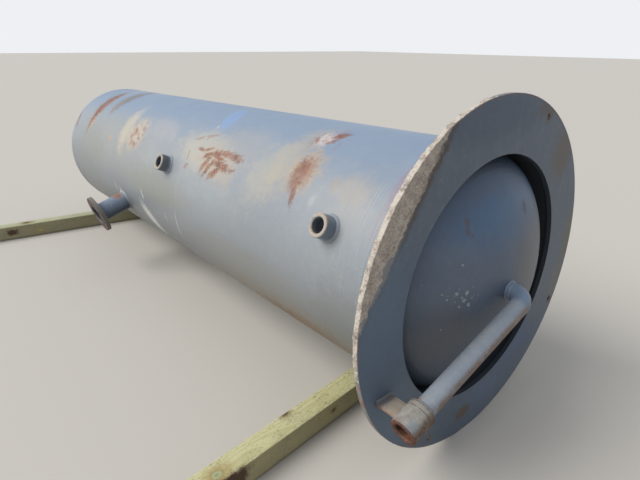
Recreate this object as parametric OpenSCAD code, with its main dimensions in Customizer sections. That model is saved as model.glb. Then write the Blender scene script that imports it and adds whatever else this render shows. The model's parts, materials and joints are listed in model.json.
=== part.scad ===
// Pressure tank with a round base ring, lying on two squared timbers.
// Units are mm. +Z is up and +X points along the tank to its base ring.
// The tank's own shapes are drawn about an X axis through the middle of the ring's front face,
// and laid() tips them until the ring's rim meets the floor and the shell meets the far timber.

/* [Shell] */
// Outside radius of the shell and skirt
shell_r = 457; // [300:1:700]
// Plate thickness of shell, skirt and heads
wall = 10; // [6:0.5:20]
// Length from the ring's front face to where the far head starts to curve
tank_len = 3323; // [2000:1:5000]
// Straight rim of each head
head_rim = 50; // [20:1:90]
// How far the far head stands out past its rim
far_depth = 228; // [150:1:320]

/* [Near head] */
// Where the near head starts to curve, behind the ring's front face
near_line = 140; // [100:1:260]
// How far the near head stands out past its rim
near_depth = 224; // [150:1:300]
// Gap between the near head's rim and the wall that it sits in
rim_gap = 0.5; // [0.2:0.1:2]
// Where the shell and the skirt meet, behind the ring's front face
seam_x = 165; // [120:1:300]

/* [Base ring] */
// How far the ring stands out from the shell
ring_out = 163; // [60:1:260]
// How far the ring reaches in past the inside of the skirt
ring_in = 11; // [1:1:60]
// Thickness of the ring
ring_t = 17; // [10:0.5:40]
// Distance from the circle of bolt holes to the ring's outer edge
bolt_edge = 33.5; // [20:0.5:80]
// Radius of one bolt hole
bolt_r = 12; // [6:0.5:25]
// Number of bolt holes
bolt_n = 4; // [3:1:24]
// Clock angle of the first bolt hole
bolt_a = 64.6; // [0:0.1:90]
// Leg of the fillet welds on the ring
ring_weld = 8; // [4:0.5:14]

/* [Pipe fittings] */
// Outside radius of the round threaded couplings
fit_r = 42; // [30:0.5:60]
// Radius of their threaded bore
thread_r = 28; // [15:0.5:45]
// Chamfer at a coupling's rim and at the mouth of its thread
fit_ease = 3; // [1:0.5:6]
// Clock angle of the two couplings on the shell
fit_a = 154.6; // [120:0.1:200]
// How far a shell coupling stands out
fit_out = 55; // [30:1:120]
// Where the coupling next to the ring sits
near_fit_x = 353; // [220:1:1200]
// Where the far coupling sits
far_fit_x = 1609; // [800:1:3000]
// Size of the weld round a coupling
fit_weld = 9; // [4:0.5:16]

/* [Flanged nozzle] */
// Clock angle of the nozzle and of the drain pipe
drain_a = 198.3; // [160:0.1:250]
// Where the nozzle sits
nozzle_x = 2294; // [1000:1:3100]
// Outside radius of the nozzle's pipe
neck_r = 57.15; // [30:0.05:90]
// Wall of the nozzle's pipe
neck_wall = 8.5; // [4:0.5:15]
// Distance from the shell to the flange's face
nozzle_out = 199; // [120:1:300]
// Outside radius of the flange
flange_r = 114.3; // [80:0.1:160]
// Thickness of the flange without its raised face
flange_t = 22.3; // [12:0.1:40]
// Radius of the raised face
face_r = 78.6; // [62:0.1:100]
// Height of the raised face
face_t = 1.6; // [1:0.1:6]
// Radius of the low hub behind the flange
hub_r = 67.45; // [60:0.05:95]
// Length of that hub
hub_len = 9.4; // [4:0.1:30]
// Leg of the weld between the hub and the nozzle's pipe
flange_weld_leg = 7; // [4:0.5:10]
// Radius of the flange's circle of bolt holes
flange_circle_r = 95.25; // [85:0.05:140]
// Radius of one hole in the flange
flange_bolt_r = 9.5; // [6:0.5:15]
// Number of holes in the flange
flange_bolt_n = 8; // [4:4:16]

/* [Drain pipe] */
// Outside radius of the drain pipe
pipe_r = 30.15; // [15:0.05:45]
// Wall of the drain pipe
pipe_wall = 5.5; // [3:0.5:10]
// Leg of the weld round the drain pipe's stub
drain_weld_leg = 5.5; // [4:0.5:14]
// How far the straight stub stands out of the near head
stub_out = 9; // [7:1:150]
// Bend radius of the elbow
elbow_r = 51; // [40:1:110]
// How far the open mouth stands past the ring's outer edge
mouth_past = 2; // [-60:1:120]
// Height and half width of the welds at the elbow's two ends
joint_bead_h = 1.8; // [1:0.1:3]
joint_bead_w = 3.4; // [2:0.1:8]
// Length of the coupling on the pipe's end
sleeve_len = 86; // [50:1:130]
// Width of the bracket that carries the pipe
bracket_w = 66; // [40:1:110]
// Thickness of the bracket
bracket_t = 8; // [5:0.5:14]
// How far the bracket runs past the pipe's axis
bracket_past = 12; // [0:1:40]
// Depth to which the bracket's edge is coped round the sleeve
bracket_cope = 3; // [1:0.5:8]
// Turn of the bracket's plate against the pipe, which sets it level
bracket_turn = 18.3; // [-30:0.1:30]
// Leg of the bracket's welds
bracket_weld_leg = 8; // [4:0.5:12]

/* [Timbers] */
// Width of a timber
timber_w = 90; // [60:1:200]
// Height of a timber
timber_h = 100; // [60:1:150]
// Length of a timber
timber_len = 2438; // [1400:1:3600]
// Chamfer along a timber's four long edges
timber_ease = 4; // [1:0.5:12]
// Near timber's front edge, behind the ring's face
near_timber_x = 367; // [150:1:900]
// Turn of the near timber
near_turn = 5.3; // [-15:0.1:15]
// How far the far timber's front edge lies short of where the far head starts to curve
far_timber_in = 250; // [100:1:1500]
// Turn of the far timber
far_turn = -8.3; // [-15:0.1:15]
// Gap left where the shell rests on the far timber
seat = 0.1; // [0:0.05:1]

/* [Hidden] */
$fn = 96;
shell_ir = shell_r - wall;
// Far timber's front edge, behind the ring's face
far_timber_x = tank_len - far_timber_in;
// Far head: where its rim starts
far_seam_x = tank_len - head_rim;
// Near head: its outside radius and the top of its dome
near_r = shell_ir - rim_gap;
near_pole = near_depth - near_line;
// Radii of the ring, of its hole and of its circle of bolt holes
ring_r = shell_r + ring_out;
ring_hole_r = shell_ir - ring_in;
bolt_circle_r = ring_r - bolt_edge;
// Distances from the tank's axis of the flange's face and of the back of its hub
nozzle_face = shell_r + nozzle_out;
hub_back = nozzle_face - face_t - flange_t - hub_len;
// Distance of the drain pipe's open mouth from the tank's axis
mouth_r = ring_r + mouth_past;
// Start of the elbow, the drain pipe's axis, and the sleeve's inner end
elbow_x = near_pole + stub_out;
drain_x = elbow_x + elbow_r;
sleeve_start = mouth_r - sleeve_len;
sleeve_stop = sleeve_start + sleeve_len * 0.42;
pipe_gap = 0.2;
// How far a cut runs past the faces that it opens
cut = 60;
// The tank's tilt, from how far the ring stands out and the far timber's height, refined once
reach = far_timber_x + (timber_w - timber_ease) / cos(far_turn);
tilt_1 = atan((ring_out - timber_h - seat) / (reach - ring_t));
fall = ring_out * cos(tilt_1) - shell_r * pow(sin(tilt_1), 2) / cos(tilt_1) - timber_h - seat;
tilt = asin(fall / (reach / cos(tilt_1) - ring_t));
lift = ring_r * cos(tilt) + ring_t * sin(tilt);
// The ends of the whole object along X, which put the origin in the middle
mouth_z = mouth_r * sin(drain_a);
end_x = drain_x * cos(tilt) - mouth_z * sin(tilt)
    + fit_r * sqrt(pow(cos(tilt), 2) + pow(cos(drain_a) * sin(tilt), 2));
far_x = -tank_len * cos(tilt) - sqrt(pow(far_depth * cos(tilt), 2) + pow(shell_r * sin(tilt), 2));
shift = -(end_x + far_x) / 2;
head_steps = 24;

paint = [0.52, 0.57, 0.63];
dark_paint = [0.36, 0.40, 0.46];
bare = [0.55, 0.42, 0.32];
pine = [0.72, 0.70, 0.45];

// Put a shape of the tank's own frame where it lies
module laid() {
    translate([shift, 0, lift]) rotate([0, -tilt, 0]) children();
}

// Spin a profile of [radius, x] points about the tank's axis
module spun(points) {
    rotate([0, 90, 0]) rotate_extrude() polygon(points);
}

// Turn a shape so that its +Y points out of the tank at clock angle a
module clock(a) {
    rotate([a, 0, 0]) children();
}

// A rod along +Y from y0 to y1 at x, in the frame that clock() turns
module rod(x, y0, y1, r) {
    translate([x, y0, 0]) rotate([-90, 0, 0]) cylinder(h = y1 - y0, r = r);
}

// A cone along +Y in the same frame
module cone(x, y0, y1, r0, r1) {
    translate([x, y0, 0]) rotate([-90, 0, 0]) cylinder(h = y1 - y0, r1 = r0, r2 = r1);
}

// Quarter of an ellipse from the rim to the pole, as [radius, x] points
function dome(r, depth, x, way) = [for (i = [0:head_steps])
    [r * cos(90 * i / head_steps), x + way * depth * sin(90 * i / head_steps)]];
// Height of the near head's dome along X at radius r
function dome_x(r) = near_pole - near_depth * (1 - sqrt(1 - pow(r / near_r, 2)));
function back(list) = [for (i = [len(list) - 1:-1:0]) list[i]];

// The round holes that the fittings pass through in the shell
module shell_holes() {
    clock(fit_a) {
        rod(-near_fit_x, shell_ir - cut, shell_r + cut, fit_r + pipe_gap);
        rod(-far_fit_x, shell_ir - cut, shell_r + cut, fit_r + pipe_gap);
    }
    clock(drain_a) rod(-nozzle_x, shell_ir - cut, shell_r + cut, neck_r + pipe_gap);
}

// The tube between the seam beside the near head and the far head
module shell() {
    color(paint) laid() difference() {
        spun([[shell_ir, -far_seam_x], [shell_r, -far_seam_x], [shell_r, -seam_x], [shell_ir, -seam_x]]);
        shell_holes();
    }
}

// The short tube between the ring and the shell
module skirt() {
    color(paint) laid()
        spun([[shell_ir, -seam_x], [shell_r, -seam_x], [shell_r, -ring_t], [shell_ir, -ring_t]]);
}

// The dished far end with its straight rim
module far_head() {
    color(paint) laid() spun(concat(
        [[shell_ir, -far_seam_x], [shell_r, -far_seam_x]],
        dome(shell_r, far_depth, -tank_len, -1),
        back(dome(shell_ir, far_depth - wall, -tank_len, -1))));
}

// The dished near end, which bulges out through the ring
module near_head() {
    color(dark_paint) laid() difference() {
        spun(concat(
            [[near_r - wall, -near_line - head_rim], [near_r, -near_line - head_rim]],
            dome(near_r, near_depth, -near_line, 1),
            back(dome(near_r - wall, near_depth - wall, -near_line, 1))));
        translate([near_pole - cut, 0, 0]) rotate([0, 90, 0]) cylinder(h = 2 * cut, r = pipe_r + pipe_gap);
    }
}

// The flat base ring with its bolt holes
module base_ring() {
    color(dark_paint) laid() difference() {
        spun([[ring_hole_r, -ring_t], [ring_r, -ring_t], [ring_r, 0], [ring_hole_r, 0]]);
        for (i = [0:bolt_n - 1]) clock(bolt_a + i * 360 / bolt_n)
            translate([-ring_t - cut, bolt_circle_r, 0]) rotate([0, 90, 0])
                cylinder(h = ring_t + 2 * cut, r = bolt_r, $fn = 32);
    }
}

// Fillet welds between skirt and ring, outside and inside
module ring_welds() {
    color(paint) laid() {
        spun([[shell_r, -ring_t], [shell_r + ring_weld, -ring_t], [shell_r, -ring_t - ring_weld]]);
        spun([[shell_ir, -ring_t], [shell_ir, -ring_t - ring_weld * 0.7],
            [shell_ir - ring_weld * 0.7, -ring_t]]);
    }
}

// A low bead round the shell at x
module bead(x) {
    spun([[shell_r, x - 8], [shell_r + 1.4, x - 4], [shell_r + 1.8, x], [shell_r + 1.4, x + 4],
        [shell_r, x + 8]]);
}

module near_seam_weld() {
    color(paint) laid() bead(-seam_x);
}

module far_seam_weld() {
    color(paint) laid() bead(-far_seam_x);
}

// The weld between the near head and the inside of the skirt
module head_weld() {
    color(dark_paint) laid()
        spun([[shell_ir, -near_line], [shell_ir, -near_line + 14], [near_r + 0.1, -near_line]]);
}

// A coupling along +Y from y0 to y1 at x, with a chamfered rim at its mouth
module coupling(x, y0, y1) {
    translate([x, 0, 0]) rotate([-90, 0, 0]) rotate_extrude() polygon([
        [thread_r, y0], [fit_r, y0], [fit_r, y1 - fit_ease], [fit_r - fit_ease, y1],
        [thread_r + fit_ease, y1], [thread_r, y1 - fit_ease]]);
}

// A threaded coupling that goes through the shell at x
module shell_coupling(x) {
    clock(fit_a) coupling(x, shell_ir - 6, shell_r + fit_out);
}

// The fillet weld round a fitting of radius r at x and clock angle a
module saddle_weld(x, a, r, s) {
    dip = shell_r - sqrt(pow(shell_r, 2) - pow(r + s, 2));
    difference() {
        clock(a) cone(x, shell_r - dip - 1, shell_r + s, r + s + (dip + 1) * 0.4, r + 1);
        clock(a) rod(x, shell_r - cut, shell_r + cut, r);
        rotate([0, 90, 0]) translate([0, 0, x - r - cut]) cylinder(h = 2 * (r + cut), r = shell_r, $fn = 720);
    }
}

module near_coupling() {
    color(paint) laid() shell_coupling(-near_fit_x);
}

module near_coupling_weld() {
    color(paint) laid() saddle_weld(-near_fit_x, fit_a, fit_r, fit_weld);
}

module far_coupling() {
    color(paint) laid() shell_coupling(-far_fit_x);
}

module far_coupling_weld() {
    color(paint) laid() saddle_weld(-far_fit_x, fit_a, fit_r, fit_weld);
}

// The nozzle's pipe, which ends just inside the flange
module nozzle_neck() {
    color(paint) laid() clock(drain_a) difference() {
        rod(-nozzle_x, shell_ir - 8, nozzle_face - 6, neck_r);
        rod(-nozzle_x, shell_ir - cut, nozzle_face + cut, neck_r - neck_wall);
    }
}

module nozzle_weld() {
    color(paint) laid() saddle_weld(-nozzle_x, drain_a, neck_r, fit_weld + 1);
}

// The flange with its raised face, its low hub and its bolt holes
module nozzle_flange() {
    color(dark_paint) laid() clock(drain_a) difference() {
        union() {
            rod(-nozzle_x, nozzle_face - face_t - flange_t, nozzle_face - face_t, flange_r);
            rod(-nozzle_x, nozzle_face - face_t - 1, nozzle_face, face_r);
            rod(-nozzle_x, hub_back, nozzle_face - face_t - 1, hub_r);
        }
        rod(-nozzle_x, hub_back - cut, nozzle_face + cut, neck_r + pipe_gap);
        for (i = [0:flange_bolt_n - 1]) translate([-nozzle_x, 0, 0])
            rotate([0, 22.5 + i * 360 / flange_bolt_n, 0])
                rod(flange_circle_r, hub_back - cut, nozzle_face + cut, flange_bolt_r);
    }
}

// The weld between the flange's hub and the nozzle's pipe
module flange_weld() {
    color(paint) laid() clock(drain_a) translate([-nozzle_x, 0, 0]) rotate([-90, 0, 0])
        rotate_extrude() polygon([[neck_r, hub_back - flange_weld_leg], [neck_r, hub_back],
            [neck_r + flange_weld_leg, hub_back]]);
}

// The pipe stub that comes out of the near head's pole
module drain_stub() {
    color(paint) laid() spun([[pipe_r - pipe_wall, near_pole - 24], [pipe_r, near_pole - 24],
        [pipe_r, elbow_x], [pipe_r - pipe_wall, elbow_x]]);
}

// The weld round the stub on the head
module drain_weld() {
    color(paint) laid()
        spun([[pipe_r, dome_x(pipe_r)], [pipe_r + drain_weld_leg, dome_x(pipe_r + drain_weld_leg)],
            [pipe_r, dome_x(pipe_r) + drain_weld_leg]]);
}

// The elbow that turns from the tank's axis to the drain's clock angle
module drain_elbow() {
    color(paint) laid() clock(drain_a) translate([elbow_x, elbow_r, 0]) rotate([0, 0, -90])
        rotate_extrude(angle = 90) translate([elbow_r, 0]) difference() {
            circle(r = pipe_r);
            circle(r = pipe_r - pipe_wall);
        }
}

// A stretch of the elbow as a ring of height h on its outside, between angles a0 and a1
module elbow_band(h, a0, a1) {
    translate([elbow_x, elbow_r, 0]) rotate([0, 0, a0 - 90]) rotate_extrude(angle = a1 - a0)
        translate([elbow_r, 0]) difference() {
            circle(r = pipe_r + h);
            circle(r = pipe_r);
        }
}

// The welds at the elbow's two ends, half on the straight pipe and half on the elbow
module elbow_welds() {
    h = joint_bead_h;
    w = joint_bead_w;
    half_bead = [[pipe_r, 0], [pipe_r + h, 0], [pipe_r + 0.7 * h, 0.7 * w], [pipe_r, w]];
    bead_a = 180 / PI * w / elbow_r;
    color(paint) laid() clock(drain_a) {
        translate([elbow_x, 0, 0]) rotate([0, -90, 0]) rotate_extrude() polygon(half_bead);
        elbow_band(h, 0, bead_a);
        translate([drain_x, elbow_r, 0]) rotate([-90, 0, 0]) rotate_extrude() polygon(half_bead);
        elbow_band(h, 90 - bead_a, 90);
    }
}

// The straight drain pipe
module drain_pipe() {
    color(paint) laid() clock(drain_a) translate([drain_x, 0, 0]) rotate([-90, 0, 0])
        rotate_extrude() polygon([[pipe_r - pipe_wall, elbow_r], [pipe_r, elbow_r],
            [pipe_r, sleeve_stop], [pipe_r - pipe_wall, sleeve_stop]]);
}

// The coupling on the pipe's end, with a socket for the pipe and a threaded mouth
module drain_coupling() {
    color(bare) laid() clock(drain_a) difference() {
        coupling(drain_x, sleeve_start, mouth_r);
        rod(drain_x, sleeve_start - cut, sleeve_stop + 0.5, pipe_r + pipe_gap);
    }
}

// The weld between the pipe and the coupling's inner end
module sleeve_weld() {
    leg = (fit_r - pipe_r) * 0.75;
    color(paint) laid() clock(drain_a) translate([drain_x, 0, 0]) rotate([-90, 0, 0])
        rotate_extrude() polygon([[pipe_r, sleeve_start - leg], [pipe_r, sleeve_start],
            [pipe_r + leg, sleeve_start]]);
}

// Put a shape at the bracket's coped edge under the coupling, with +Y along the plate to the axis
module at_bracket() {
    clock(drain_a) translate([0, (sleeve_start + mouth_r) / 2, fit_r - bracket_cope])
        rotate([180 - bracket_turn, 0, 0]) children();
}

// The level plate from the ring's face to the coupling's underside
module drain_bracket() {
    color(bare) laid() difference() {
        at_bracket() translate([0, 0, -bracket_t]) cube([drain_x + bracket_past, bracket_w, bracket_t]);
        clock(drain_a) rod(drain_x, sleeve_start - cut, mouth_r + cut, fit_r + pipe_gap);
    }
}

// The welds along both sides of the bracket's plate on the ring
module bracket_welds() {
    color(bare) laid() at_bracket() for (side = [0, 1]) translate([0, 0, -side * bracket_t])
        mirror([0, 0, side]) rotate([-90, 0, 0]) linear_extrude(bracket_w)
            polygon([[0, 0], [bracket_weld_leg, 0], [0, -bracket_weld_leg]]);
}

// A squared timber whose front top edge passes x at the middle of its length
module timber(x, turn) {
    e = timber_ease;
    w = timber_w;
    h = timber_h;
    translate([shift - x, 0, 0]) rotate([0, 0, turn]) translate([0, timber_len / 2, 0])
        rotate([90, 0, 0]) linear_extrude(timber_len) polygon([[-e, 0], [0, e], [0, h - e], [-e, h],
            [e - w, h], [-w, h - e], [-w, e], [e - w, 0]]);
}

module near_timber() {
    color(pine) timber(near_timber_x, near_turn);
}

module far_timber() {
    color(pine) timber(far_timber_x, far_turn);
}

shell();
skirt();
far_head();
near_head();
base_ring();
ring_welds();
near_seam_weld();
far_seam_weld();
head_weld();
near_coupling();
near_coupling_weld();
far_coupling();
far_coupling_weld();
nozzle_neck();
nozzle_weld();
nozzle_flange();
flange_weld();
drain_stub();
drain_weld();
drain_elbow();
elbow_welds();
drain_pipe();
drain_coupling();
sleeve_weld();
drain_bracket();
bracket_welds();
near_timber();
far_timber();
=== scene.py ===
# %% [markdown]
# A steel pressure tank laid on two timbers.
#
# The tank is a rolled shell with a dished head at each end, a flat base ring, two threaded
# couplings, a flanged nozzle and a drain pipe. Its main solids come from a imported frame, with
# their real sizes, so this lesson is about what a frame can't show: grey primer that has faded and
# rusted, welds with their ripples, threads, dried mud on the ring and the grain of the timbers.
#
# The frame comes first. It's the ruler for everything below: the tank leans a little, so one
# matrix is made here that takes a point of the tank's own axes to the place where it lies.

# %% Load the frame
import bmesh
import bpy
import json
import math
from mathutils import Matrix, Vector, noise

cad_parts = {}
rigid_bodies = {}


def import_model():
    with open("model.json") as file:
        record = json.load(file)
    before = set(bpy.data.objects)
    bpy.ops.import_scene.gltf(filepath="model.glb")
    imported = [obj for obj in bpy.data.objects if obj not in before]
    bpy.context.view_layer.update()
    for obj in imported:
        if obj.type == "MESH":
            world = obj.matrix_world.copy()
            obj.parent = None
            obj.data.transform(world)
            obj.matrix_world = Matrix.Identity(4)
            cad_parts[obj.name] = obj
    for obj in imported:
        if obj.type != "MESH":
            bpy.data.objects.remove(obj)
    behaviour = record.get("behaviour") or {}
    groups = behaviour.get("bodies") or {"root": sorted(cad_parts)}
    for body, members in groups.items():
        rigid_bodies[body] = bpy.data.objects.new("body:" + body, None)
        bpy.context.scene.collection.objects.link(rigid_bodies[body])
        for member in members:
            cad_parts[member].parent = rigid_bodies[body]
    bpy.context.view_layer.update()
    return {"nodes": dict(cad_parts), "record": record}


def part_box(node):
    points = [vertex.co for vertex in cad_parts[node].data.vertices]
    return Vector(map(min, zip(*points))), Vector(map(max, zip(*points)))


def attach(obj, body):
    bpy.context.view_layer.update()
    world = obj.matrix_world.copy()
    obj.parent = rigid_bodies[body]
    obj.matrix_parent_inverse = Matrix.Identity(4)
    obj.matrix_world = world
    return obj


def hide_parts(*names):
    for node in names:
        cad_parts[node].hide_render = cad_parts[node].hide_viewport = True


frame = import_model()
mounts = {mount["name"]: mount for mount in frame["record"]["mounts"]}
nodes = frame["nodes"]
print("nodes in the frame:", len(nodes))

# %% The tank's own axes
ring_centre = Vector(mounts["base_ring_bolts"]["pos_m"])
tank_axis = Vector(mounts["base_ring_bolts"]["axis"]).normalized()
tilt = math.asin(tank_axis.z)
from_tank = Matrix.Translation(ring_centre) @ Matrix.Rotation(-tilt, 4, "Y")
to_tank = from_tank.inverted()
print("the tank leans by", round(math.degrees(tilt), 2), "degrees")


def on_tank(along, clock, radius):
    """A place in the row frame: metres along the axis from the ring's face, degrees round, radius."""
    a = math.radians(clock)
    return from_tank @ Vector((along, radius * math.cos(a), radius * math.sin(a)))


def middle(node):
    """The middle of a node's box, in the tank's own axes."""
    low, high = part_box(node)
    return to_tank @ ((Vector(low) + Vector(high)) / 2)


def half_width(node):
    """Half of a node's width across the tank, which is the radius of a round node."""
    return Vector(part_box(node)[1]).y


shell_r = half_width("shell")
ring_r = half_width("base_ring")
wall = 0.010
skirt_inner = shell_r - wall
seam_x = middle("near_seam_weld").x
far_seam_x = middle("far_seam_weld").x
print("radius of shell and ring in mm:", round(shell_r * 1000, 1), round(ring_r * 1000, 1))

# %% [markdown]
# The camera stands where the photographer stood, near the ring and a little above it, with a wide
# lens. Its focal length was solved in pixels, so the lens is that share of the sensor's width. The
# place and the direction are given in the tank's own axes and then turned with the tank.

# %% Camera
photo_width = 640
focal_pixels = 477.8
heading = 0.8702
look_down = 0.3774
lean = 0.0039
eye = Vector((0.753, -1.383, 0.738))

ahead = Vector((-math.sin(heading) * math.cos(look_down), math.cos(heading) * math.cos(look_down),
                -math.sin(look_down)))
across = Vector((math.cos(heading), math.sin(heading), 0))
down = ahead.cross(across)
right_side = across * math.cos(lean) + down * math.sin(lean)
under_side = down * math.cos(lean) - across * math.sin(lean)

lens = bpy.data.cameras.new("camera")
lens.sensor_width = 36
lens.lens = lens.sensor_width * focal_pixels / photo_width
camera = bpy.data.objects.new("camera", lens)
turn = Matrix((right_side, -under_side, -ahead)).transposed()
camera.matrix_world = from_tank @ Matrix.Translation(eye) @ turn.to_4x4()
bpy.context.scene.collection.objects.link(camera)
bpy.context.scene.camera = camera
print("camera height in metres:", round(camera.matrix_world.translation.z, 3))

# %% [markdown]
# Materials, the sky and the geometry trees are all made of nodes. Written out in full a node takes
# three or four lines, and there are many of them, so one small class gives the common ones short
# names. A formula then reads nearly as it would on paper.

# %% Helpers for node trees


class Nodes:
    """Short calls that add nodes to a tree. Each one gives back the new node's output."""

    def __init__(self, tree):
        self.tree = tree

    def add(self, kind, inputs=(), out=0, **settings):
        node = self.tree.nodes.new(kind)
        for name, value in settings.items():
            setattr(node, name, value)
        for key, value in dict(inputs).items():
            if isinstance(value, bpy.types.NodeSocket):
                self.tree.links.new(value, node.inputs[key])
            else:
                node.inputs[key].default_value = value
        return node if out is None else node.outputs[out]

    def math(self, operation, *values, clamp=False):
        return self.add("ShaderNodeMath", enumerate(values), operation=operation, use_clamp=clamp)

    def chain(self, operation, values):
        """The same operation over all the values, one after the other."""
        made = values[0]
        for value in values[1:]:
            made = self.math(operation, made, value)
        return made

    def plus(self, *values):
        return self.chain("ADD", values)

    def times(self, *values):
        return self.chain("MULTIPLY", values)

    def vector(self, operation, *values, out=0):
        return self.add("ShaderNodeVectorMath", enumerate(values), out, operation=operation)

    def scaled(self, vector, factor):
        """The vector made longer by a factor."""
        return self.add("ShaderNodeVectorMath", {0: vector, "Scale": factor}, operation="SCALE")

    def length(self, vector):
        return self.vector("LENGTH", vector, out="Value")

    def upward(self):
        """How far the surface faces up: 1 on top, 0 on a side and -1 underneath."""
        return self.add("ShaderNodeSeparateXYZ", {0: self.add("ShaderNodeNewGeometry", out="Normal")}, out=2)

    def named(self, name, kind="FLOAT"):
        """What a mesh carries under that name, in a geometry tree."""
        return self.add("GeometryNodeInputNamedAttribute", {"Name": name}, data_type=kind)

    def mix(self, factor, low, high):
        """A blend of two colours."""
        return self.add("ShaderNodeMix", {0: factor, 6: low, 7: high}, out=2, data_type="RGBA")

    def between(self, factor, low, high):
        """A blend of two numbers."""
        return self.add("ShaderNodeMix", {0: factor, 2: low, 3: high})

    def rise(self, value, low, high):
        """0 at low, 1 at high and a smooth step between them. low may be the larger."""
        return self.add("ShaderNodeMapRange", {0: value, 1: low, 2: high},
                        interpolation_type="SMOOTHSTEP")

    def noise(self, vector, scale, detail=4, rough=0.55):
        return self.add("ShaderNodeTexNoise", {"Vector": vector, "Scale": scale, "Detail": detail,
                                               "Roughness": rough})

    def stretch(self, vector, scale):
        """The vector with its axes scaled, which draws a pattern out."""
        return self.add("ShaderNodeMapping", {"Vector": vector, "Scale": scale})

    def ramp(self, value, *stops):
        """Colours by value. Each stop is (place, colour)."""
        node = self.add("ShaderNodeValToRGB", {0: value}, out=None)
        marks = node.color_ramp.elements
        while len(marks) < len(stops):
            marks.new(0.5)
        for mark, (place, colour) in zip(marks, stops):
            mark.position = place
            mark.color = colour
        return node.outputs[0]


def rgb(red, green, blue):
    """A colour as a screen shows it, 0 to 255, turned to the linear numbers that a shader takes."""
    def linear(value):
        value = value / 255
        return value / 12.92 if value <= 0.04045 else ((value + 0.055) / 1.055) ** 2.4
    return (linear(red), linear(green), linear(blue), 1.0)


print("a middle grey in linear numbers:", round(rgb(128, 128, 128)[0], 3))

# %% [markdown]
# The stage is a pale floor under a pale sky. One sun with a very wide disc stands high on the left,
# which gives the soft light of a big studio window: the shell's side is lit, the ring's face lies
# in shade, and shadows have soft edges. The sky is nearly white at the horizon and a little blue
# above, so that smooth paint mirrors some blue. A sun lights near and far floor alike, which a
# lamp close by wouldn't.

# %% Floor and sky
scene = bpy.context.scene
scene.view_settings.view_transform = "Standard"


def plain_surface(name, colour):
    """A matt one-colour material for the stage."""
    material = bpy.data.materials.new(name)
    material.use_nodes = True
    shader = material.node_tree.nodes["Principled BSDF"]
    shader.inputs["Base Color"].default_value = colour
    shader.inputs["Roughness"].default_value = 0.9
    shader.inputs["Specular IOR Level"].default_value = 0.1
    return material


floor_mesh = bpy.data.meshes.new("floor")
reach = 60
floor_mesh.from_pydata([(-reach, -reach, 0), (reach, -reach, 0), (reach, reach, 0), (-reach, reach, 0)],
                       [], [(0, 1, 2, 3)])
floor = bpy.data.objects.new("floor", floor_mesh)
floor_mesh.materials.append(plain_surface("floor_pale", rgb(196, 192, 185)))
scene.collection.objects.link(floor)

world = bpy.data.worlds.new("sky")
scene.world = world
world.use_nodes = True
sky = Nodes(world.node_tree)
background = world.node_tree.nodes["Background"]
rays = sky.add("ShaderNodeLightPath", out=None).outputs
seen = sky.math("MAXIMUM", rays["Is Camera Ray"], rays["Is Glossy Ray"])
seen = sky.math("MAXIMUM", seen, rays["Is Transmission Ray"])
up = sky.add("ShaderNodeSeparateXYZ", {0: sky.add("ShaderNodeTexCoord", out="Generated")}, out=2)
at_horizon = (0.95, 0.97, 1.0, 1)
overhead = (0.62, 0.76, 0.98, 1)
as_lamp = (0.90, 0.94, 1.0, 1)
seen_sky = sky.mix(sky.rise(up, 0.04, 0.40), at_horizon, overhead)
tint = sky.mix(seen, as_lamp, seen_sky)
world.node_tree.links.new(tint, background.inputs["Color"])
world.node_tree.links.new(sky.between(seen, 0.58, 0.90), background.inputs["Strength"])
print("floor half width in metres:", reach)

# %% Lamps


def sun(name, bearing, height, strength, width, colour):
    """A sun lamp from that bearing and height above the floor, in degrees, with a disc that wide."""
    data = bpy.data.lights.new(name, "SUN")
    data.energy = strength
    data.angle = math.radians(width)
    data.color = colour
    made = bpy.data.objects.new(name, data)
    a, h = math.radians(bearing), math.radians(height)
    shine = -Vector((math.cos(a) * math.cos(h), math.sin(a) * math.cos(h), math.sin(h)))
    made.rotation_euler = shine.to_track_quat("-Z", "Y").to_euler()
    scene.collection.objects.link(made)


sun("left_high", bearing=245, height=42, strength=2.7, width=42, colour=(1.0, 0.97, 0.92))

# %% [markdown]
# Rust, chips and stains are masks in the shader. Each one is a place on the steel: so far along
# the tank, at such a clock angle, so long and so wide. A shader group measures how far out of that
# place the surface point lies, in lengths of the patch. A noise moves the edge in and out, which
# gives the ragged outline of flaking paint. The same group serves every patch, so a mark costs one
# line. Painting an image would need a file, and the marks would blur close up.
#
# The point comes to the group as plain numbers, so far ahead and so far round, and not as a vector.
# Cycles keeps a vector for each patch until it has turned them all, and its room for such values is
# small: with seventy marks the shell would come out black.

# %% Shader groups


def shader_group(name, inputs, outputs):
    """A node group with those sockets: its Nodes, its input sockets by name and its output node."""
    tree = bpy.data.node_groups.new(name, "ShaderNodeTree")
    kinds = {"v": "NodeSocketVector", "f": "NodeSocketFloat", "c": "NodeSocketColor"}
    for socket, kind, start in inputs:
        made = tree.interface.new_socket(socket, in_out="INPUT", socket_type=kinds[kind])
        if start is not None:
            made.default_value = start
    for socket, kind in outputs:
        tree.interface.new_socket(socket, in_out="OUTPUT", socket_type=kinds[kind])
    made = Nodes(tree)
    entry = made.add("NodeGroupInput", out=None)
    return made, entry.outputs, made.add("NodeGroupOutput", out=None)


def finish_group(group, end, **values):
    """Joins the group's results to its output sockets; an underscore stands for a space."""
    for name, value in values.items():
        group.tree.links.new(value, end.inputs[name.replace("_", " ")])
    print("shader group:", group.tree.name, "with", len(group.tree.nodes), "nodes")
    return group.tree


def torn(g, i, out):
    """Moves an outline in and out by the noise that comes in as Edge."""
    shift = g.times(g.math("SUBTRACT", i["Edge"], 0.5), g.times(i["Ragged"], 4.0))
    return g.plus(out, shift)


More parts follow.
